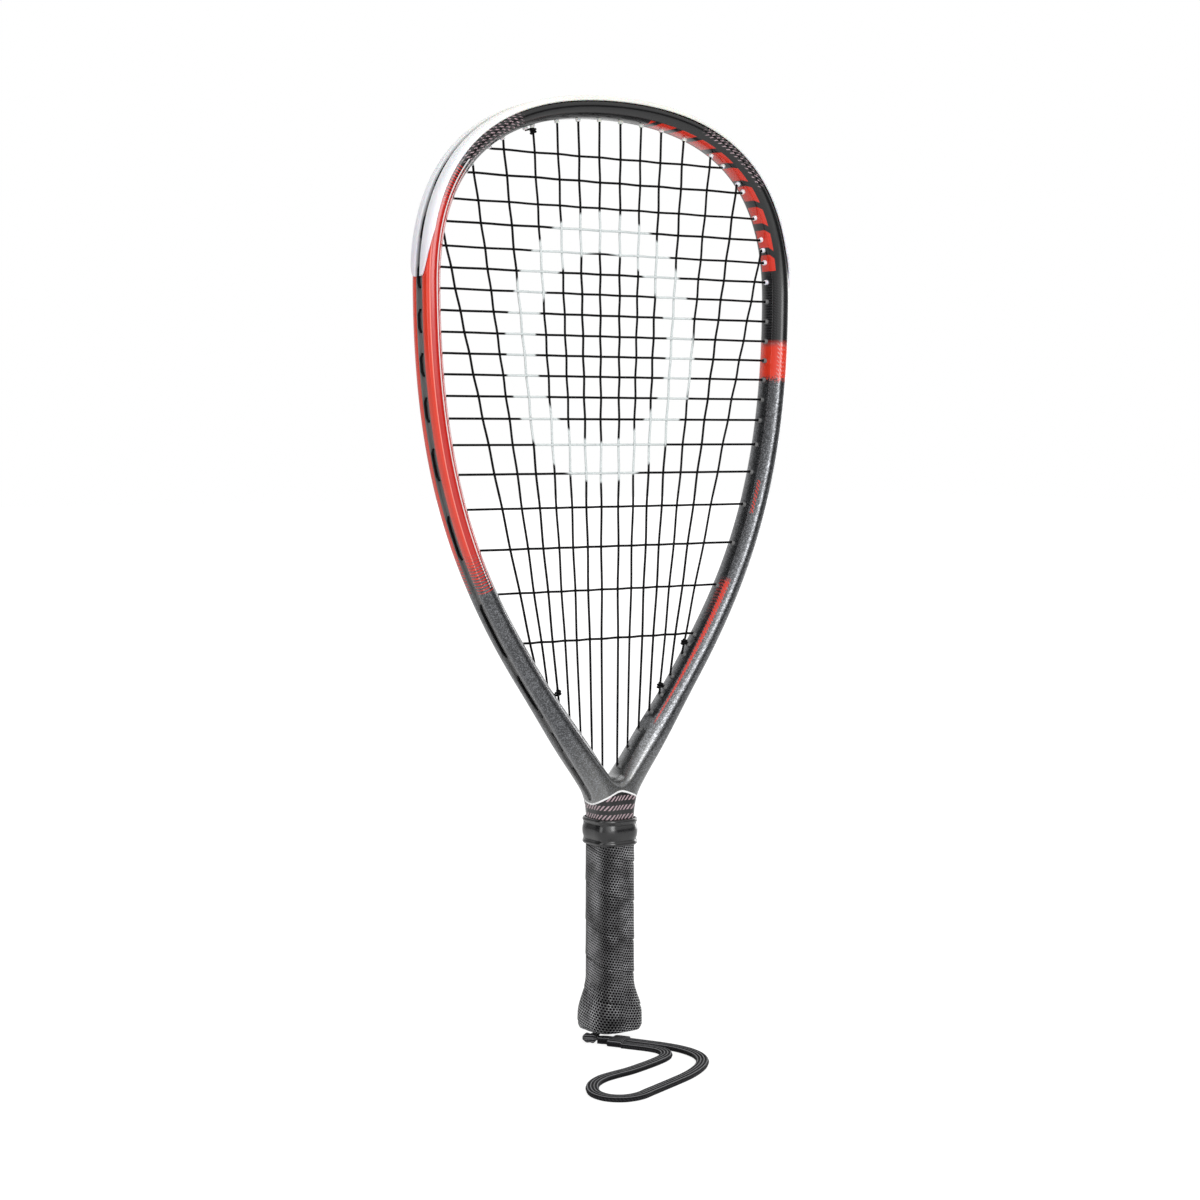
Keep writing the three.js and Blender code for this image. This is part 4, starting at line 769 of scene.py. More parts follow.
def throat_fillet():
    """The centre of the round bottom of the V, and the station whose inner face it touches."""
    near = [i for i, s in enumerate(STATIONS) if THROAT_HEIGHT - 12 <= s["centre"].y <= 215]
    centre = Vector((0.0, THROAT_HEIGHT))

    def gap(i):
        return (STATIONS[i]["centre"] - centre).length - STATIONS[i]["width"]

    while min(gap(i) for i in near) < THROAT_FILLET:
        centre.y += 0.05
    return centre, min(near, key=gap)


FILLET_CENTRE, FILLET_STATION = throat_fillet()


def groove_share(at):
    """How wide the groove is: it narrows to a round tongue over the neck."""
    rise = spot(at, reading(at, "width"), 0).z - GROOVE_END
    return math.sqrt(1 - (1 - min(1.0, max(0.02, rise / GROOVE_ROUND))) ** 2)


def reading(at, name):
    low = min(int(at), len(STATIONS) - 2)
    return mix(STATIONS[low][name], STATIONS[low + 1][name], at - low)


def spot(at, out, y):
    """A point on or in the tube, in millimetres above the butt: out from its middle line and y off the face."""
    low = min(int(at), len(STATIONS) - 2)
    a, b = STATIONS[low], STATIONS[low + 1]
    middle = (a["centre"] + a["out"] * out).lerp(b["centre"] + b["out"] * out, at - low)
    return Vector((middle.x, y, middle.y))


def metres(point, side=1):
    return at_grip(side * point.x, point.y, point.z)


def floor_out(at):
    return reading(at, "width") - reading(at, "groove") + 1.0


def bend_out(at):
    return -reading(at, "width") - 2.2


def lane_out(at):
    return floor_out(at) + 0.3 + STRING


def station_at_height(height):
    for i, station in enumerate(STATIONS):
        if station["centre"].y > height:
            low = STATIONS[i - 1]["centre"].y
            return i - 1 + (height - low) / (station["centre"].y - low)
    return len(STATIONS) - 1


def along_tube(at, length):
    """The station a given length further down the tube."""
    here, gone = at, 0.0
    step = math.copysign(0.05, length)
    while abs(gone) < abs(length):
        further = here - step
        gone += (spot(here, 0, 0) - spot(further, 0, 0)).length
        here = further
    return here


# ---- Where the strings run

CROSS_SHARES = (0, 0.0505, 0.104, 0.1495, 0.198, 0.24, 0.282, 0.325, 0.368, 0.41, 0.452, 0.495, 0.54, 0.593,
                0.6525, 0.723, 0.806, 0.8965, 1)
CROSS_HEIGHTS = [mix(523.4, 238.5, share) for share in CROSS_SHARES]
MAIN_LINES = []
for top_share, foot_share in zip((0.0605, 0.1785, 0.295, 0.427, 0.59, 0.768, 1),
                                 (0.118, 0.289, 0.464, 0.625, 0.769, 0.9, 1)):
    low_end = Vector((foot_share * 47.7, 200.0))
    MAIN_LINES.append((low_end, (Vector((top_share * 121.3, 500.0)) - low_end).normalized()))


def where_crossed(low, heading, from_top):
    def aside(at):
        point = spot(at, bend_out(at), 0)
        return (point.x - low.x) * heading.y - (point.z - low.y) * heading.x

    found = []
    for i in range(THROAT_STATION * 4, (len(STATIONS) - 1) * 4):
        near, far = i / 4, (i + 1) / 4
        if aside(near) * aside(far) <= 0:
            for _ in range(16):
                middle = (near + far) / 2
                near, far = (near, middle) if aside(near) * aside(middle) <= 0 else (middle, far)
            found.append((near + far) / 2)
    return found[-1] if from_top else found[0]


MAIN_TOPS = [where_crossed(low, heading, True) for low, heading in MAIN_LINES]
MAIN_FEET = [where_crossed(low, heading, False) for low, heading in MAIN_LINES]
CROSS_ENDS = [where_crossed(Vector((0, height)), Vector((1, 0)), True) for height in CROSS_HEIGHTS]
LANE = 2 * STRING + 0.3
TIE_Y = 0.55
TIES = {
    "cross_start": (along_tube(MAIN_TOPS[3], 5.2), -1),
    "cross_end": ((CROSS_ENDS[-1] + MAIN_FEET[6]) / 2, 1),
    "main_start": (along_tube(MAIN_FEET[4], -5.2), -1),
    "main_end": (along_tube(MAIN_FEET[4], -5.2), 1),
}
MAINS = [(i, -1) for i in reversed(range(7))] + [(i, 1) for i in range(7)]


def sided(point, side):
    return Vector((side * point.x, point.y, point.z))


def in_groove(start, end, side, y):
    """Points in the groove from one hole to the next, in the lane at y."""
    way = math.copysign(1, end - start)
    near, far = along_tube(start, -way * 2.2), along_tube(end, way * 2.2)
    inner = [i for i in range(len(STATIONS)) if min(near, far) < i < max(near, far)]
    if end < start:
        inner.reverse()
    return [sided(spot(at, lane_out(at), y), side) for at in [near, *inner, far]]


def over_crown(at, y):
    top = len(STATIONS) - 1
    half = in_groove(at, top, 1, y)[:-1]
    return [sided(point, -1) for point in half] + [spot(top, lane_out(top), y)] + half[::-1]


def crossing(i, j):
    line, side = MAINS[i]
    low, heading = MAIN_LINES[line]
    height = CROSS_HEIGHTS[j]
    x = side * (low.x + (height - low.y) / heading.y * heading.x)
    end = spot(CROSS_ENDS[j], bend_out(CROSS_ENDS[j]), 0)
    top = spot(MAIN_TOPS[line], bend_out(MAIN_TOPS[line]), 0).z
    foot = spot(MAIN_FEET[line], bend_out(MAIN_FEET[line]), 0).z
    if abs(x) < end.x - STRING and foot + STRING < height < top - STRING:
        return Vector((x, -MAIN_WEAVE if (i + j) % 2 else MAIN_WEAVE, height))
    return None


CROSSINGS = [[crossing(i, j) for j in range(len(CROSS_HEIGHTS))] for i in range(len(MAINS))]


def woven(points):
    """A straight run over and under its crossings, as an even wave between them."""
    full = [points[0]]
    for a, b in zip(points, points[1:]):
        for k in range(1, 7):
            share = k / 6
            point = a.lerp(b, share)
            point.y = mix(a.y, b.y, (1 - math.cos(share * math.pi)) / 2)
            full.append(point)
    return full


def main_run(i, downwards):
    line, side = MAINS[i]
    top = sided(spot(MAIN_TOPS[line], bend_out(MAIN_TOPS[line]), 0), side)
    foot = sided(spot(MAIN_FEET[line], bend_out(MAIN_FEET[line]), 0), side)
    points = woven([top, *[p for p in CROSSINGS[i] if p], foot])
    return points if downwards else points[::-1]


def cross_run(j, rightwards):
    end = spot(CROSS_ENDS[j], bend_out(CROSS_ENDS[j]), 0)
    under = [Vector((p.x, -math.copysign(CROSS_WEAVE, p.y), p.z)) for p in (column[j] for column in CROSSINGS) if p]
    points = woven([sided(end, -1), *under, end])
    return points if rightwards else points[::-1]


def groove_end(at, side):
    return sided(spot(at, lane_out(at), 0), side)


def knot_round(tip, near, far):
    """A turn and a half round a neighbouring string, from where a tail leaves its hole."""
    axis = (far - near).normalized()
    reach = max(0.2, (tip - near).dot(axis) - 1.2)
    back = (Vector((0, 1, 0)) - axis * axis.y).normalized()
    aside = axis.cross(back)
    points = []
    for i in range(41):
        angle = i / 20 * 2 * math.pi
        points.append(near + axis * (reach + 1.45 * i / 20) + back * 1.4 * math.cos(angle)
                      + aside * 1.4 * math.sin(angle))
    return points


def tail(name, to, near, far):
    at, side = TIES[name]
    start = sided(spot(at, lane_out(at), TIE_Y), side)
    tip = sided(spot(at, bend_out(at), TIE_Y), side)
    return knot_round(tip, near, far)[::-1] + [tip, start] + in_groove(at, to, side, LANE)[1:]


def straight_main(i, downwards):
    line, side = MAINS[i]
    top = sided(spot(MAIN_TOPS[line], bend_out(MAIN_TOPS[line]), 0), side)
    foot = sided(spot(MAIN_FEET[line], bend_out(MAIN_FEET[line]), 0), side)
    return (top, foot) if downwards else (foot, top)


def main_string_path():
    points = tail("main_start", MAIN_FEET[6], *straight_main(2, False)) + [groove_end(MAIN_FEET[6], -1)]
    for i, (line, side) in enumerate(MAINS):
        downwards = i % 2 == 1
        points += main_run(i, downwards)
        if i + 1 == len(MAINS):
            break
        next_line, next_side = MAINS[i + 1]
        ends = MAIN_FEET if downwards else MAIN_TOPS
        start, end = ends[line], ends[next_line]
        between = in_groove(start, end, side, -LANE) if side == next_side else over_crown(start, -LANE)
        points += [groove_end(start, side), *between, groove_end(end, next_side)]
    points.append(groove_end(MAIN_FEET[6], 1))
    return points + tail("main_end", MAIN_FEET[6], *straight_main(11, False))[::-1]


def cross_string_path():
    points = tail("cross_start", CROSS_ENDS[0], *straight_main(3, True)) + [groove_end(CROSS_ENDS[0], -1)]
    for j, at in enumerate(CROSS_ENDS):
        rightwards = j % 2 == 0
        points += cross_run(j, rightwards)
        if j + 1 < len(CROSS_ENDS):
            side = 1 if rightwards else -1
            further = CROSS_ENDS[j + 1]
            points += [groove_end(at, side), *in_groove(at, further, side, LANE), groove_end(further, side)]
    points.append(groove_end(CROSS_ENDS[-1], 1))
    return points + tail("cross_end", CROSS_ENDS[-1], *straight_main(13, False))[::-1]


def round_cord(name, points, radius, sides=4):
    """A round cord through points, from a path curve with a round bevel that is then made a mesh."""
    nothing_selected()
    bpy.ops.curve.primitive_nurbs_path_add(location=(0, 0, 0))
    cord = bpy.context.object
    cord.name = name
    cord.data.splines.clear()
    line = cord.data.splines.new("POLY")
    line.points.add(len(points) - 1)
    for knot, point in zip(line.points, points):
        knot.co = (*metres(point), 1.0)
    cord.data.bevel_depth = radius
    cord.data.bevel_resolution = sides
    cord.data.use_fill_caps = True
    only(cord)
    bpy.ops.object.convert(target="MESH")
    return bpy.context.object


# ---- Lanyard

def rounded_route(route, height):
    """Even points along a smooth line through the route's points."""
    knots = [Vector((x, y, height)) for x, y in route]
    ends = [knots[0] * 2 - knots[1], *knots, knots[-1] * 2 - knots[-2]]
    fine = []
    for a, b, c, d in zip(ends, ends[1:], ends[2:], ends[3:]):
        before, here, after = (max(1e-6, (q - p).length ** 0.5) for p, q in ((a, b), (b, c), (c, d)))
        start = ((b - a) / before - (c - a) / (before + here) + (c - b) / here) * here
        end = ((c - b) / here - (d - b) / (here + after) + (d - c) / after) * here
        for k in range(12):
            t = k / 12
            fine.append(b * (2 * t ** 3 - 3 * t * t + 1) + start * (t ** 3 - 2 * t * t + t)
                        + c * (3 * t * t - 2 * t ** 3) + end * (t ** 3 - t * t))
    fine.append(knots[-1])
    return fine


def ribbed_section(half_width, half_height, ribs, depth, waist=0.86):
    """A flat strap's outline: round edges, and ribs along both faces."""
    points = []
    steps = ribs * RIB_STEPS
    for face in (1, -1):
        for k in range(steps + 1):
            across = mix(-1.0, 1.0, k / steps) * face
            fold = (1 - abs(across) ** 5) ** (1 / 2.4) if abs(across) < 1 else 0.0
            ridge = abs(math.sin((across * 0.5 + 0.5) * ribs * math.pi)) ** 0.7
            high = half_height * fold - depth * (1 - ridge) * fold
            if k < steps:
                points.append(Vector((across * half_width, face * high)))
    return points


def strap(name, centres, section, twist=None):
    """A strap along centres: its section stands upright across the way it runs."""
    rings, along, across = [], [], []
    distance = 0.0
    reach = [k / RIB_STEPS * RIB_PITCH for k in range(len(section) + 1)]
    for i, centre in enumerate(centres):
        before, after = centres[max(0, i - 1)], centres[min(len(centres) - 1, i + 1)]
        heading = (after - before).normalized()
        side = heading.cross(Vector((0, 0, 1))).normalized()
        up = side.cross(heading).normalized()
        scale = twist(i / (len(centres) - 1)) if twist else (1.0, 1.0)
        rings.append([centre + side * point.x * scale[0] + up * point.y * scale[1] for point in section])
        if i:
            distance += (centre - centres[i - 1]).length
        along.append(distance)
        across.append(reach)
    piece = skin(name, rings, along, across)
    piece.data.uv_layers[0].name = "Braid"
    return piece


class RACKET_OT_stage(bpy.types.Operator):
    """Adds the camera, the pale floor, the soft lights and the white room"""
    bl_idname = "racket.stage"
    bl_label = "Stage"

    def execute(self, context):
        stage = context.scene.racket_stage
        nothing_selected()
        bpy.ops.object.camera_add(location=(-0.793822, -1.123395, 0.298077),
                                  rotation=(math.radians(85.899763), 0.0, math.radians(-35.0)))
        camera = context.object
        camera.data.sensor_width = 36.0
        camera.data.lens = 68.9496
        camera.data.clip_start = 0.05
        camera.data.clip_end = 60.0
        context.scene.camera = camera

        bpy.ops.mesh.primitive_plane_add(size=14.0, location=(2.0, 3.0, (FLOOR - GRIP_CENTRE) * MM))
        floor = context.object
        floor.name = "floor"
        look = Look("Pale floor", {"Roughness": 0.9, "Specular IOR Level": 0.1})
        grain = look.use("Surface grain", Vector=look.spot, Scale=300.0, Wear=0.2)
        look.feed(look.shader.inputs["Base Color"], look.over(
            look.ramp(grain["Shade"], 0.9, 1.1), (0.80, 0.80, 0.80, 1.0), (0.84, 0.84, 0.84, 1.0)))
        glow = look.node("ShaderNodeEmission", {"Color": (1, 1, 1, 1), "Strength": 1.22})
        seen = look.node("ShaderNodeLightPath").outputs["Is Camera Ray"]
        floor_x, floor_y, _ = look.parts(look.spot)
        away = look.node("ShaderNodeVectorMath", {0: look.vector(look.maths("ADD", floor_x, 2.0), look.maths(
            "ADD", floor_y, 3.0))}, operation="LENGTH").outputs["Value"]
        share = look.maths("MULTIPLY", seen, look.ramp(away, 0.3, 1.0, 0.7, 1.0))
        blend = look.node("ShaderNodeMixShader", {0: share, 1: look.shader.outputs[0], 2: glow.outputs[0]})
        output = next(n for n in look.tree.nodes if n.type == "OUTPUT_MATERIAL")
        look.tree.links.new(blend.outputs[0], output.inputs["Surface"])
        floor.data.materials.append(look.material)

        def softbox(name, place, aim, size, power):
            bpy.ops.object.light_add(type="AREA", location=place)
            lamp = context.object
            lamp.name = name
            lamp.data.shape = "RECTANGLE"
            lamp.data.size, lamp.data.size_y = size
            lamp.data.energy = power
            lamp.rotation_euler = (Vector(aim) - Vector(place)).to_track_quat("-Z", "Y").to_euler()

        softbox("key light", (-0.6, -1.95, 1.1), (0, 0, 0.2), (1.0, 1.4), stage.key_power)
        softbox("rim light", (1.6, 0.5, 0.6), (0, 0, 0.2), (0.5, 1.6), stage.fill_power)
        softbox("top light", (0.0, 0.35, 1.7), (0, 0, 0.2), (1.2, 0.8), stage.fill_power * 0.5)

        world = bpy.data.worlds.new("white room")
        context.scene.world = world
        world.use_nodes = True
        room = Look("white room", group=world.node_tree)
        ground = next(n for n in room.tree.nodes if n.type == "BACKGROUND")
        path = room.node("ShaderNodeLightPath").outputs
        seen = room.any_of(path["Is Camera Ray"], path["Is Transmission Ray"])
        # The white backdrop stands behind and to the right, a bright strip on the left, a soft window in front and
        # a reflector over it; the room between them is dark. A glossy ray sees the backdrop as white as the
        # camera does.
        aside, ahead, up = room.parts(room.node("ShaderNodeTexCoord").outputs["Generated"])
        backdrop = room.ramp(room.maths("MULTIPLY_ADD", aside, 0.8, ahead), *stage.backdrop_edge)
        white = room.maths("MULTIPLY_ADD", path["Is Glossy Ray"], 1 - stage.world_strength, stage.world_strength)
        off_strip = room.maths("ABSOLUTE", room.maths("SUBTRACT", ahead, 0.09))
        strip = room.all_of(room.ramp(aside, -0.5, -0.8), room.ramp(off_strip, 0.20, 0.08), stage.strip_strength)
        off_window = room.maths("ABSOLUTE", room.maths("ADD", aside, 0.42))
        window = room.all_of(room.ramp(ahead, 0.0, -0.4), room.ramp(off_window, 0.72, 0.2), stage.window_strength)
        over = room.all_of(room.ramp(up, 0.12, 0.32), room.ramp(ahead, -0.1, -0.4), room.ramp(aside, -0.1, 0.15),
                           stage.top_strength)
        around = room.any_of(room.maths("MULTIPLY", backdrop, white), strip, window, over, stage.room_shade)
        level = room.maths("MAXIMUM", seen, around)
        room.feed(ground.inputs["Color"], (1, 1, 1, 1))
        room.feed(ground.inputs["Strength"], level)
        context.scene.view_settings.view_transform = "Standard"
        return {"FINISHED"}


class RACKET_OT_lanyard(bpy.types.Operator):
    """Makes the wrist lanyard: its ribbed cord, the keeper, the doubled tail and the knot"""
    bl_idname = "racket.lanyard"
    bl_label = "Lanyard"

    def execute(self, context):
        look = braided(context.scene.racket_colours)
        ground = (FLOOR - GRIP_CENTRE) * MM
        half_wide, half_high = LANYARD[0] / 2 * MM, LANYARD[1] / 2 * MM
        centres = rounded_route(LANYARD_ROUTE, ground + half_high)
        section = ribbed_section(half_wide, half_high, 4, 0.0006)
        cord = strap("lanyard_loop", centres, section)

        heading = Vector((math.cos(KEEPER_HEADING), math.sin(KEEPER_HEADING), 0))
        keeper_half = (LANYARD[0] + 0.3 + 0.6) * MM
        keeper_high = (LANYARD[1] / 2 + 0.6) * MM
        middle = Vector((KEEPER[0] * MM, KEEPER[1] * MM, ground + keeper_high))
        stops = [-1.0, -0.97, -0.86, -0.7, -0.35, 0.0, 0.35, 0.7, 0.86, 0.97, 1.0]
        line = [middle + heading * (KEEPER_LENGTH / 2 * MM * stop) for stop in stops]
        puffed = lambda share: ((0.93, 0.84) if share in (0.0, 1.0) else (0.97, 0.94) if share in (0.1, 0.9)
                                else (1.0, 1.0))
        keeper = strap("lanyard_keeper_sleeve", line, ribbed_section(keeper_half, keeper_high, 8, 0.00022), puffed)

        tail_high = 2.1 * MM
        start = middle - heading * (KEEPER_LENGTH / 2 + 0.3) * MM
        start.z = ground + tail_high
        bend = start - heading * LANYARD[0] / 2 * MM
        knot_centre = Vector((KNOT[0] * MM, KNOT[1] * MM, ground + 3.1 * MM))
        to_knot = Vector((knot_centre.x - bend.x, knot_centre.y - bend.y, 0)).normalized()
        end = Vector((knot_centre.x, knot_centre.y, ground + tail_high)) - to_knot * 4.7 * MM
        tail_line = [start.lerp(bend, k / 6) for k in range(6)] + [bend.lerp(end, k / 8) for k in range(9)]
        narrow = lambda share: (1.0 - 0.22 * smooth(share, 0.6, 1.0), 1.0)
        tail_piece = strap("lanyard_doubled_tail", tail_line, ribbed_section(half_wide, tail_high, 4, 0.0004), narrow)
        knot = self.knot(knot_centre, to_knot, ground)

        for piece, slot_node in ((cord, "lanyard_cord"), (keeper, "lanyard_keeper"),
                                 (tail_piece, "lanyard_tail"), (knot, "lanyard_knot")):
            finish_piece(piece, look, [slot_node], 50)
        return {"FINISHED"}

    def knot(self, centre, heading, ground):
        """An overhand knot: three fat strands wound round each other, with a neck up into the butt."""
        rings, along, across = [], [], []
        turns = 26
        sides = 32
        aside = Vector((-heading.y, heading.x, 0))
        for i in range(turns + 1):
            share = i / turns
            place = math.cos(share * math.pi)
            girth = math.sin(share * math.pi) ** 0.75 if 0 < i < turns else 0.04
            bulge = 1 + 0.10 * math.cos(share * math.pi * 6)
            ring = []
            for k in range(sides):
                angle = k / sides * 2 * math.pi
                lump = 1 + 0.07 * math.cos(3 * angle + share * 9)
                ring.append(centre - heading * 4.6 * MM * place
                            + aside * 3.7 * MM * girth * bulge * lump * math.cos(angle)
                            + Vector((0, 0, 2.85 * MM * girth * bulge * lump * math.sin(angle))))
            rings.append(ring)
            along.append(share * 0.010)
            across.append([k / sides * 0.022 for k in range(sides + 1)])
        body = skin("knot_body", rings, along, across)
        neck_high = -2.9 * MM - GRIP_CENTRE * MM
        hole = Vector((LANYARD_HOLE[0] * MM, LANYARD_HOLE[1] * MM, neck_high))
        start = Vector((centre.x, centre.y, neck_high))
        rise = Vector((hole.x, hole.y, (3.6 - GRIP_CENTRE) * MM))
        way = (hole - start).normalized()
        line = [start.lerp(hole - way * 0.0015, k / 5) for k in range(6)]
        line += [hole + Vector((0, 0, 0.0002)) - way * 0.0006, hole + Vector((0, 0, 0.0009)) - way * 0.0001]
        line += [hole.lerp(rise, k / 4) for k in range(2, 5)]
        rings, along, across = [], [], []
        distance = 0.0
        for i, point in enumerate(line):
            before, after = line[max(0, i - 1)], line[min(len(line) - 1, i + 1)]
            ahead = (after - before).normalized()
            flat = Vector((-way.y, way.x, 0))
            up = flat.cross(ahead).normalized()
            rings.append([point + (flat * math.cos(a) + up * math.sin(a)) * 2.2 * MM
                          for a in (k / 24 * 2 * math.pi for k in range(24))])
            distance += (point - before).length
            along.append(distance)
            across.append([k / 24 * 0.014 for k in range(25)])
        neck = skin("knot_neck", rings, along, across)
        whole = joined([body, neck], "lanyard_stopper_knot")
        whole.data.uv_layers[0].name = "Braid"
        return whole


class RACKET_OT_tube(bpy.types.Operator):
    """Makes the lacquered hairpin tube with its groove and the web in its throat"""
    bl_idname = "racket.tube"
    bl_label = "Frame tube"

    inner_steps = (0.74, 0.62, 0.5, 0.4, 0.31, 0.23, 0.16, 0.1, 0.05, 0.0)
    face_crown = 0.7

    def inner_side(self, number, station):
        """The inner half of the section's face: flat to the middle plane in the neck, round the V's
        bottom above it, and bevelled down to the inner face in the hoop."""
        width, centre, out = station["width"], station["centre"], station["out"]
        shares = station["shares"]
        reach = width
        in_neck = number < FILLET_STATION
        if in_neck:
            reach = centre.x / out.x + 1.0
            to_fillet = FILLET_CENTRE - centre
            along = -to_fillet.dot(out)
            aside = to_fillet.length_squared - along ** 2
            if aside < THROAT_FILLET ** 2:
                hit = along - math.sqrt(THROAT_FILLET ** 2 - aside)
                if (centre - out * hit).x >= 0:
                    reach = hit
        start = -shares["ridge"] * width
        bevel = (1 + shares["inner"]) * width
        points = []
        for step in self.inner_steps:
            inwards = mix(reach, start, step)
            place = centre - out * inwards
            off_edge = (place - FILLET_CENTRE).length - THROAT_FILLET if in_neck else width - inwards
            slope = max(0.0, 1 - max(0.0, off_edge) / bevel)
            depth = tube_sizes(place.y)[1] if in_neck else station["depth"]
            crown = self.face_crown * ((inwards - start) / (reach - start)) ** 2 * (1 - slope)
            points.append((-inwards, depth * (1 - (1 - shares["edge"]) * slope ** 2) - crown, 0))
        return points

    def section(self, number, ease):
        station = STATIONS[number]
        width, depth, groove, shares = (station[name] for name in ("width", "depth", "groove", "shares"))
        lip = GROOVE_HALF * groove_share(number)
        half = [
            (width - groove, lip - 0.3 * (1 - groove / GROOVE) * lip / GROOVE_HALF, 0.3), (width, lip, 0.3), (width, depth * shares["face"], ease),
            (width * shares["bevel_width"], depth * shares["bevel_depth"], ease),
            (width * shares["ridge"], depth, ease * 1.6),
        ] + self.inner_side(number, station)
        return eased(half + [(out, -y, own) for out, y, own in reversed(half)], ease)

    def execute(self, context):
        ease = context.scene.racket_sizes.corner_ease / MM
        rings, along, across = [], [], []
        for number, station in enumerate(STATIONS):
            outline = self.section(number, ease)
            rings.append([metres(spot(number, point.x, point.y)) for point in outline])
            along.append(station["run"] * MM)
            across.append([point.x / station["width"] for point in outline])
        whole = skin("lacquered_tube", rings, along, across)
        halved(whole)
        whole.data.uv_layers[0].name = "Tube"
        finish_piece(whole, lacquer(context.scene.racket_colours), ["frame"], 34)
        return {"FINISHED"}


class RACKET_OT_guard(bpy.types.Operator):
    """Makes the clear-white guard over the head, and its barrels"""
    bl_idname = "racket.guard"
    bl_label = "Head guard"

    def skirt(self, at):
        """Where the skin lies: up the outer face, round the corner, and some way up the bevel beyond it."""
        width, depth = reading(at, "width"), reading(at, "depth")
        shares = shares_at(spot(at, 0, 0).z)
        corner = Vector((width * shares["bevel_width"], depth * shares["bevel_depth"]))
        ridge = Vector((width * max(shares["ridge"], SKIRT_RIDGE), depth))
        knees = [Vector((width, GROOVE_HALF)), Vector((width, depth * shares["face"])), corner,
                 corner.lerp(ridge, SKIRT_SHARE)]
        reaches = [0.0]
        for a, b in zip(knees, knees[1:]):
            reaches.append(reaches[-1] + (b - a).length)
        return knees, reaches

    def lifted(self, knees, reaches, length, lift):
        part = next((i for i in range(3) if reaches[i + 1] >= length - 0.03), 2)
        share = (length - reaches[part]) / (reaches[part + 1] - reaches[part])
        normals = []
        for a, b in zip(knees, knees[1:]):
            run = (b - a).normalized()
            normals.append(Vector((run.y, -run.x)))
        here = normals[part]
        after = normals[min(2, part + 1)]
        away = (here + after) / (1 + here.dot(after)) if abs(length - reaches[part + 1]) < 0.03 else here
        return knees[part].lerp(knees[part + 1], share) + away * lift

    def section(self, at, foot):
        width, groove = reading(at, "width"), reading(at, "groove")
        knees, reaches = self.skirt(at)
        from_end = (spot(at, 0, 0) - spot(foot, 0, 0)).length
        cover = reaches[3] * math.sqrt(min(1.0, from_end / TONGUE_LENGTH))
        first = min(cover, reaches[1])
        second = max(first + 0.3, min(cover, reaches[2]))
        third = max(second + 0.3, cover)
        lengths = (first, second, third)
        outer = [self.lifted(knees, reaches, length, 0.3 + 1.1) for length in lengths]
        inner = [self.lifted(knees, reaches, length, 0.3) for length in lengths]
        lane = LANE + STRING + 0.3
        wall = lane + 0.55
        half = [(width - groove + 1.0, lane, 0.2), (width + BUMPER_CROWN, lane, 0.35)]
        half += [(point.x, point.y, own) for point, own in zip(outer, (1.2, 1.0, 0.5))]
        half += [(point.x, point.y, own) for point, own in zip(reversed(inner), (0.2, 0.5, 0.5))]
        half += [(width + 0.3, wall, 0.1), (width - groove + 0.3, wall, 0.1)]
        return eased(half + [(out, -y, own) for out, y, own in reversed(half)], 0.3, 2)

    def execute(self, context):
        colours = context.scene.racket_colours
        foot = station_at_height(GUARD_FOOT)
        stops = [along_tube(foot, -TONGUE_LENGTH * share ** 2) if share else foot for share in
                 (0.0, 0.12, 0.22, 0.33, 0.45, 0.56, 0.68, 0.8, 0.9, 1.0)]
        stops += [at for at in range(len(STATIONS)) if at > stops[-1] + 0.4]
        rings = [[metres(spot(at, point.x, point.y)) for point in self.section(at, foot)] for at in stops]
        along = [reading(at, "run") * MM for at in stops]
        half = skin("half_guard", rings, along, [[p.x for p in self.section(at, foot)] for at in stops])
        halved(half)
        sleeves = barrels([at for at in MAIN_TOPS + CROSS_ENDS if at > foot], "guard_barrels",
                          [TIES["cross_start"]])
        guard = joined([half, sleeves], "clear_head_guard")
        finish_piece(guard, clear_guard(colours), ["bumper_guard"], 34)
        return {"FINISHED"}


def barrels(stations, name, ties=(), sides=(-1, 1)):
    """One grommet barrel with a rounded, bored tip, copied to every hole of a strip."""
    nothing_selected()
    bpy.ops.mesh.primitive_cylinder_add(vertices=16, radius=1.0, depth=1.0, location=(0, 0, 0.5))
    barrel = bpy.context.object
    barrel.name = name
    bpy.ops.object.transform_apply(location=True, rotation=True, scale=True)
    bpy.ops.object.mode_set(mode="EDIT")
    bpy.ops.mesh.select_all(action="DESELECT")
    bpy.ops.mesh.select_mode(type="FACE")
    edit = bmesh.from_edit_mesh(barrel.data)
    for face in edit.faces:
        face.select = face.normal.z > 0.9
    bmesh.update_edit_mesh(barrel.data)
    bpy.ops.mesh.extrude_region_move()
    bpy.ops.transform.resize(value=(0.86, 0.86, 1.0), center_override=(0, 0, 1))
    bpy.ops.transform.translate(value=(0, 0, 0.045))
    bpy.ops.mesh.inset(thickness=0.24)
    bpy.ops.mesh.extrude_region_move(TRANSFORM_OT_translate={"value": (0, 0, -0.2)})
    bpy.ops.object.mode_set(mode="OBJECT")
    radius = 0.95 + 0.6
    copies = []
    holes = [(at, side, 0.0) for at in stations for side in sides]
    holes += [(at, side, TIE_Y) for at, side in ties]
    for at, side, y in holes:
        start = metres(spot(at, floor_out(at) - 0.35, y), side)
        end = metres(spot(at, -reading(at, "width") - 1.9, y), side)
        drill = end - start
        turn = drill.to_track_quat("Z", "Y").to_matrix().to_4x4()
        copy = barrel.copy()
        copy.data = barrel.data.copy()
        copy.data.transform(Matrix.Translation(start) @ turn @ Matrix.Diagonal(
            (radius * MM, radius * MM, drill.length / 1.045, 1.0)))
        bpy.context.scene.collection.objects.link(copy)
        copies.append(copy)
    bpy.data.objects.remove(barrel)
    return joined(copies, name)


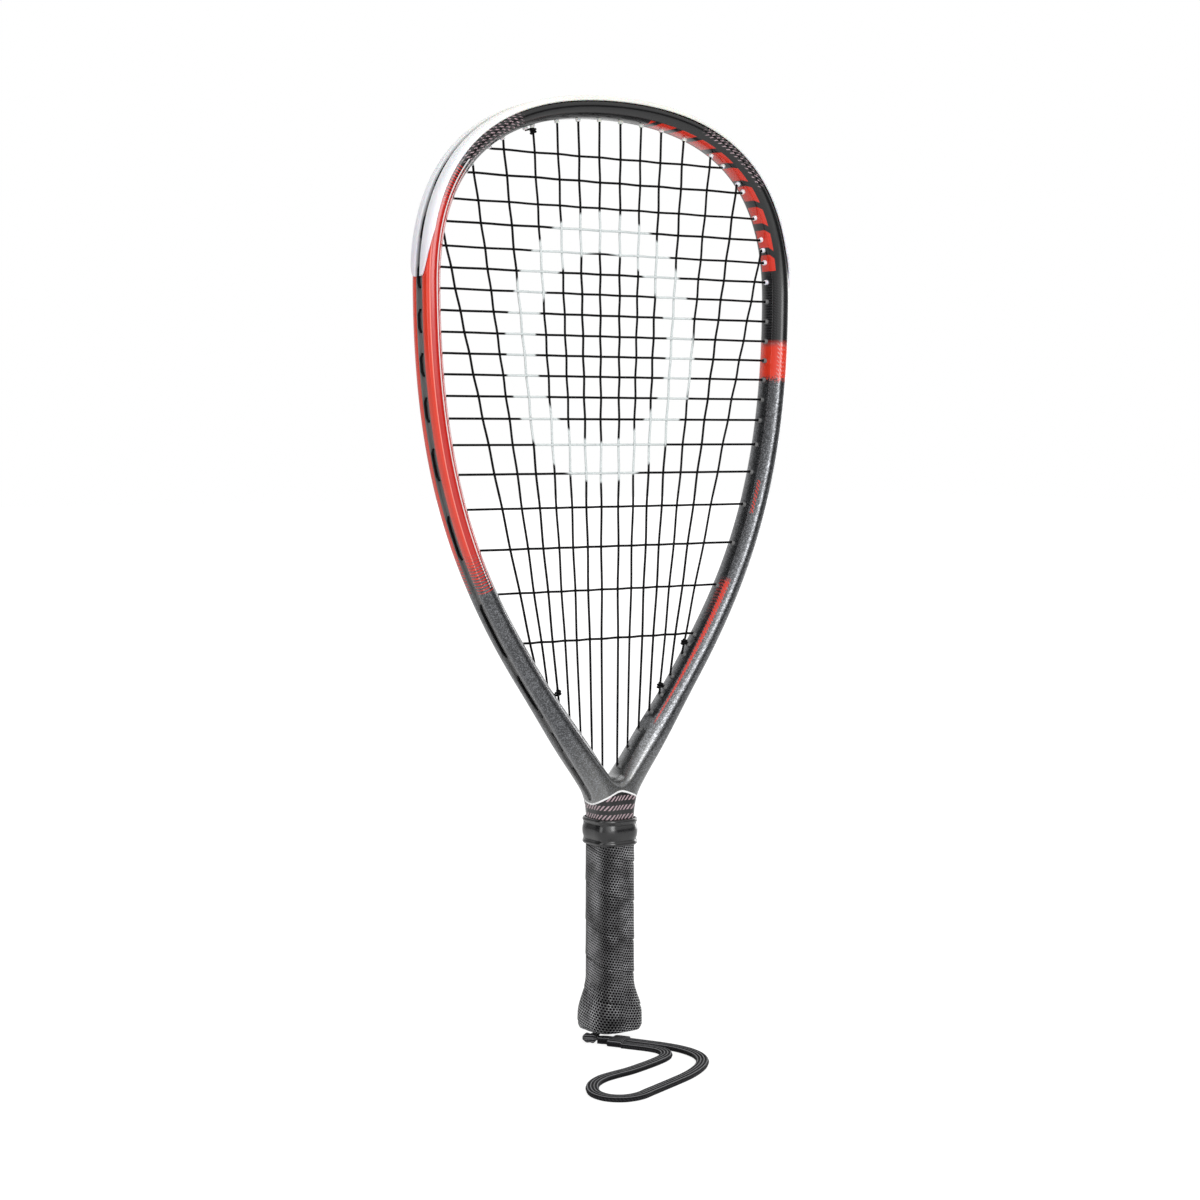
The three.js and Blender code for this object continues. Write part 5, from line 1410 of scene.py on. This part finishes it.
class RACKET_OT_strips(bpy.types.Operator):
    """Makes the two grey grommet strips in the groove, and their barrels"""
    bl_idname = "racket.strips"
    bl_label = "Grommet strips"

    def execute(self, context):
        look = moulded("Grommet plastic", context.scene.racket_colours.grommet, 0.42, 900.0, 0.5)
        foot = next(at / 4 for at in range(4 * len(STATIONS)) if spot(at / 4, 7.7, 0).z > GROOVE_END + 1.4)
        top = station_at_height(GUARD_FOOT - 0.5)
        stops = [foot, *[at for at in range(len(STATIONS)) if foot + 0.2 < at < top - 0.2], top]
        lane = LANE + STRING + 0.3
        for name, side in (("left_grommet_strip", -1), ("right_grommet_strip", 1)):
            rings = []
            for at in stops:
                width, groove = reading(at, "width"), reading(at, "groove")
                narrow = groove_share(at)
                low = min(width - 0.2, width - groove + 1.0)
                half = [(low, lane * narrow, 0.15), (width, lane * narrow, 0.15),
                        (width, (lane + 0.55) * narrow, 0.15),
                        (min(width - 0.6, width - groove + 0.3), (lane + 0.55) * narrow, 0.1)]
                outline = eased(half + [(out, -y, own) for out, y, own in reversed(half)], 0.15, 2)
                rings.append([metres(spot(at, point.x, point.y), side) for point in outline])
            along = [reading(at, "run") * MM for at in stops]
            channel = skin(name + "_channel", rings, along, [[0.0] * len(rings[0])] * len(stops))
            own_ties = [tie for tie in TIES.values() if tie[1] == side and tie[0] < top]
            sleeves = barrels([at for at in MAIN_FEET + CROSS_ENDS if at < top], name + "_barrels", own_ties, (side,))
            finish_piece(joined([channel, sleeves], name.replace("grommet_strip", "strip_and_barrels")),
                         look, [name], 34)
        return {"FINISHED"}


class RACKET_OT_strings(bpy.types.Operator):
    """Laces the main string and the cross string through their holes, with their knots"""
    bl_idname = "racket.strings"
    bl_label = "Strings"

    def execute(self, context):
        look = string_polymer(context.scene.racket_colours)
        radius = context.scene.racket_sizes.string_radius
        for name, path, node in (("laced_mains", main_string_path(), "main_string"),
                                 ("laced_crosses", cross_string_path(), "cross_string")):
            clean = [path[0]]
            for point in path[1:]:
                if (point - clean[-1]).length > 0.05:
                    clean.append(point)
            finish_piece(round_cord(name, clean, radius, 2), look, [node], 60)
        return {"FINISHED"}


# ---- Handle

def handle_size(height, inset):
    flare = 1 - smooth(height, 10.0, 32.0)
    below = max(0.0, 4.2 - height)
    edge = 4.2 - math.sqrt(max(0.0, 4.2 ** 2 - below ** 2))
    return (mix(12.25, 17.2, flare) - edge - inset, mix(14.0, 16.4, flare) - edge - inset,
            5.0 - inset * (2 - math.sqrt(2)))


def octagon(half_x, half_y, cut, ease=1.2):
    quarter = [(half_x, half_y - cut), (half_x - cut, half_y)]
    corners = quarter + [(-x, y) for x, y in reversed(quarter)]
    corners += [(-x, -y) for x, y in quarter] + [(x, -y) for x, y in reversed(quarter)]
    return eased(corners, ease, 3)


def from_centre(outline, count, start=0.0):
    """The outline's radius at even angles, counted clockwise seen from above from the front."""
    radii = []
    for k in range(count):
        angle = start + k / count * 2 * math.pi
        ray = Vector((-math.sin(angle), -math.cos(angle)))
        best = 0.0
        for a, b in zip(outline, outline[1:] + outline[:1]):
            side = b - a
            scale = ray.x * side.y - ray.y * side.x
            if abs(scale) < 1e-9:
                continue
            reach = (a.x * side.y - a.y * side.x) / scale
            share = (a.x * ray.y - a.y * ray.x) / scale
            if reach > 0 and -1e-6 <= share <= 1 + 1e-6:
                best = max(best, reach)
        radii.append((ray, best))
    return radii


class RACKET_OT_grip(bpy.types.Operator):
    """Winds the perforated wrap round the handle, each turn lapping the one below"""
    bl_idname = "racket.grip"
    bl_label = "Grip wrap"

    columns = 96

    def bulge(self, ray, half_x, half_y, _):
        """The radius of a full, round-cornered outline, which the cushion's faces swell towards."""
        return (abs(ray.x / (half_x + 0.5)) ** 3 + abs(ray.y / (half_y + 0.5)) ** 3) ** (-1 / 3)

    def execute(self, context):
        sizes = context.scene.racket_sizes
        lap = sizes.lap_depth / MM
        rows = []
        for turn in range(len(SEAMS) - 2):
            for share, inset in ((0.0, 1.0), (0.014, 0.75), (0.04, -0.25), (0.09, -0.3), (0.18, -0.15), (0.3, 0.0),
                                 (0.42, 0.05), (0.55, 0.1), (0.68, 0.12), (0.8, 0.15), (0.9, 0.2), (0.965, 0.3),
                                 (0.99, 0.7)):
                rows.append((turn, share, inset * lap + 0.15))
        rows.append((len(SEAMS) - 2, 0.0, lap + 0.15))
        nothing_selected()
        bpy.ops.mesh.primitive_grid_add(x_subdivisions=self.columns, y_subdivisions=len(rows) - 1, size=1.0,
                                        location=(0, 0, 0))
        wrap = context.object
        wrap.name = "wound_grip"
        profiles = {}

        def radius_at(height, column):
            key = round(min(WRAP_TOP, max(WRAP_FOOT, height)) * 2)
            if key not in profiles:
                size = handle_size(key / 2, 0.0)
                profiles[key] = [(ray, mix(reach, self.bulge(ray, *size), 0.6)) for ray, reach in
                                 from_centre(octagon(*size, 3.4), self.columns)]
            return profiles[key][column % self.columns]

        mesh = wrap.data
        layer = mesh.uv_layers[0]
        spots = {}
        for vert in mesh.vertices:
            column = round((vert.co.x + 0.5) * self.columns)
            number = round((vert.co.y + 0.5) * (len(rows) - 1))
            turn, share, inset = rows[number]
            about = column / self.columns
            low = mix(SEAMS[turn], SEAMS[turn + 1], about)
            high = mix(SEAMS[turn + 1], SEAMS[min(turn + 2, len(SEAMS) - 1)], about)
            height = mix(low, high, share)
            ray, reach = radius_at(height, column)
            spots[vert.index] = (about * 0.0935, height * MM)
            vert.co = at_grip(ray.x * (reach - inset), ray.y * (reach - inset), height)
        for loop in mesh.loops:
            layer.data[loop.index].uv = spots[loop.vertex_index]
        layer.name = "Wrap"
        only(wrap)
        bpy.ops.object.mode_set(mode="EDIT")
        bpy.ops.mesh.select_all(action="SELECT")
        bpy.ops.mesh.remove_doubles(threshold=0.00001)
        for height, way in ((WRAP_TOP, 1), (WRAP_FOOT, -1)):
            bpy.ops.mesh.select_all(action="SELECT")
            bpy.ops.mesh.bisect(plane_co=at_grip(0, 0, height), plane_no=(0, 0, way), clear_outer=True)
        bpy.ops.mesh.select_all(action="SELECT")
        bpy.ops.mesh.normals_make_consistent(inside=False)
        bpy.ops.object.mode_set(mode="OBJECT")
        modify(wrap, "SOLIDIFY", thickness=1.1 * MM, offset=-1.0)
        look = perforated_skin(context.scene.racket_colours, sizes.perforation_pitch)
        finish_piece(wrap, look, ["grip_wrap"], 40)
        return {"FINISHED"}


class RACKET_OT_collar(bpy.types.Operator):
    """Makes the rubber collar with its two beads and the bulge between them"""
    bl_idname = "racket.collar"
    bl_label = "Rubber collar"

    def execute(self, context):
        outside = (
            (0.0, -0.2), (0.15, 0.5), (0.7, 0.95), (1.4, 1.05), (2.1, 0.9), (2.7, 0.35), (3.1, 0.1), (3.8, 0.3),
            (5.0, 0.8), (6.5, 1.1), (8.05, 1.2), (9.6, 1.1), (11.1, 0.8), (12.3, 0.3), (13.0, 0.1), (13.4, 0.35),
            (14.0, 0.9), (14.7, 1.05), (15.4, 0.95), (15.95, 0.5), (16.1, -0.2),
        )
        base = handle_size(40.0, -1.2)
        count = 96
        rings = []
        for up, out in outside:
            outline = octagon(base[0] + out - 0.25, base[1] + out - 0.25, base[2] + out * 0.58, 4.5)
            rings.append([at_grip(ray.x * reach, ray.y * reach, COLLAR_FOOT + up)
                          for ray, reach in from_centre(outline, count)])
        neck_side, neck_front = 4.2 + NECK[0], NECK[1]
        inner = octagon(neck_side + 0.35, neck_front + 0.35, 3.4, 1.4)
        for up in (16.0, 9.0, 2.4):
            rings.append([at_grip(ray.x * reach, ray.y * reach, COLLAR_FOOT + up)
                          for ray, reach in from_centre(inner, count)])
        foot = octagon(*handle_size(40.0, -0.25))
        for up in (1.9, 0.05):
            rings.append([at_grip(ray.x * reach, ray.y * reach, COLLAR_FOOT + up)
                          for ray, reach in from_centre(foot, count)])
        collar = skin("rubber_collar", rings, closed=True)
        look = moulded("Collar rubber", context.scene.racket_colours.rubber, 0.20, 700.0, 0.35, 0.5)
        finish_piece(collar, look, ["grip_collar"], 50)
        return {"FINISHED"}


class RACKET_OT_inside(bpy.types.Operator):
    """Gives the pieces inside the handle their plastic, foam and wire finishes"""
    bl_idname = "racket.inside"
    bl_label = "Inside the handle"

    def execute(self, context):
        foam = moulded("Pallet foam", (0.030, 0.030, 0.033, 1.0), 0.85, 500.0, 0.8)
        cap = moulded("Cap plastic", (0.018, 0.018, 0.020, 1.0), 0.45, 900.0, 0.4)
        wire = Look("Staple wire", {"Metallic": 1.0})
        grain = wire.use("Surface grain", Vector=wire.spot, Scale=3000.0, Wear=0.4)
        shade = wire.over(wire.ramp(grain["Shade"], 0.85, 1.15), (0.42, 0.43, 0.45, 1.0), (0.62, 0.63, 0.65, 1.0))
        wire.paint(Base_Color=shade, Roughness=wire.maths("MULTIPLY_ADD", grain["Roughness Shift"], 0.3, 0.3),
                   Normal=wire.relief(grain["Height"], 0.00005, 0.3))
        looks = {"front_handle_pallet": foam, "rear_handle_pallet": foam, "butt_cap": cap,
                 "left_cap_staple": wire.material, "right_cap_staple": wire.material}
        for name, look in looks.items():
            node = NODES[name]
            node.data.materials.clear()
            node.data.materials.append(look)
        return {"FINISHED"}


class RACKET_PT_panel(bpy.types.Panel):
    """Lists the racket's sizes, colours and pieces"""
    bl_label = "Racket"
    bl_idname = "RACKET_PT_panel"
    bl_space_type = "VIEW_3D"
    bl_region_type = "UI"
    bl_category = "Racket"

    def draw(self, context):
        for group in (context.scene.racket_sizes, context.scene.racket_colours, context.scene.racket_stage):
            box = self.layout.box()
            for name in group.bl_rna.properties.keys():
                if name not in {"rna_type", "name"}:
                    box.prop(group, name)
        for operator in OPERATORS:
            self.layout.operator(operator.bl_idname)


OPERATORS = (RACKET_OT_stage, RACKET_OT_lanyard, RACKET_OT_tube, RACKET_OT_guard, RACKET_OT_strips,
             RACKET_OT_strings, RACKET_OT_grip, RACKET_OT_collar, RACKET_OT_inside)
GROUPS = (("racket_sizes", RacketSizes), ("racket_colours", RacketColours), ("racket_stage", RacketStage))


def register():
    for name, group in GROUPS:
        bpy.utils.register_class(group)
        setattr(bpy.types.Scene, name, bpy.props.PointerProperty(type=group))
    for operator in OPERATORS:
        bpy.utils.register_class(operator)
    bpy.utils.register_class(RACKET_PT_panel)


def unregister():
    bpy.utils.unregister_class(RACKET_PT_panel)
    for operator in reversed(OPERATORS):
        bpy.utils.unregister_class(operator)
    for name, group in reversed(GROUPS):
        delattr(bpy.types.Scene, name)
        bpy.utils.unregister_class(group)


def main():
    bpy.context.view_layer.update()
    register()
    make_shared_effects()
    bpy.ops.racket.stage()
    bpy.ops.racket.lanyard()
    bpy.ops.racket.tube()
    bpy.ops.racket.guard()
    bpy.ops.racket.strips()
    bpy.ops.racket.strings()
    bpy.ops.racket.grip()
    bpy.ops.racket.collar()
    bpy.ops.racket.inside()
    nothing_selected()


if __name__ == "__main__":
    main()
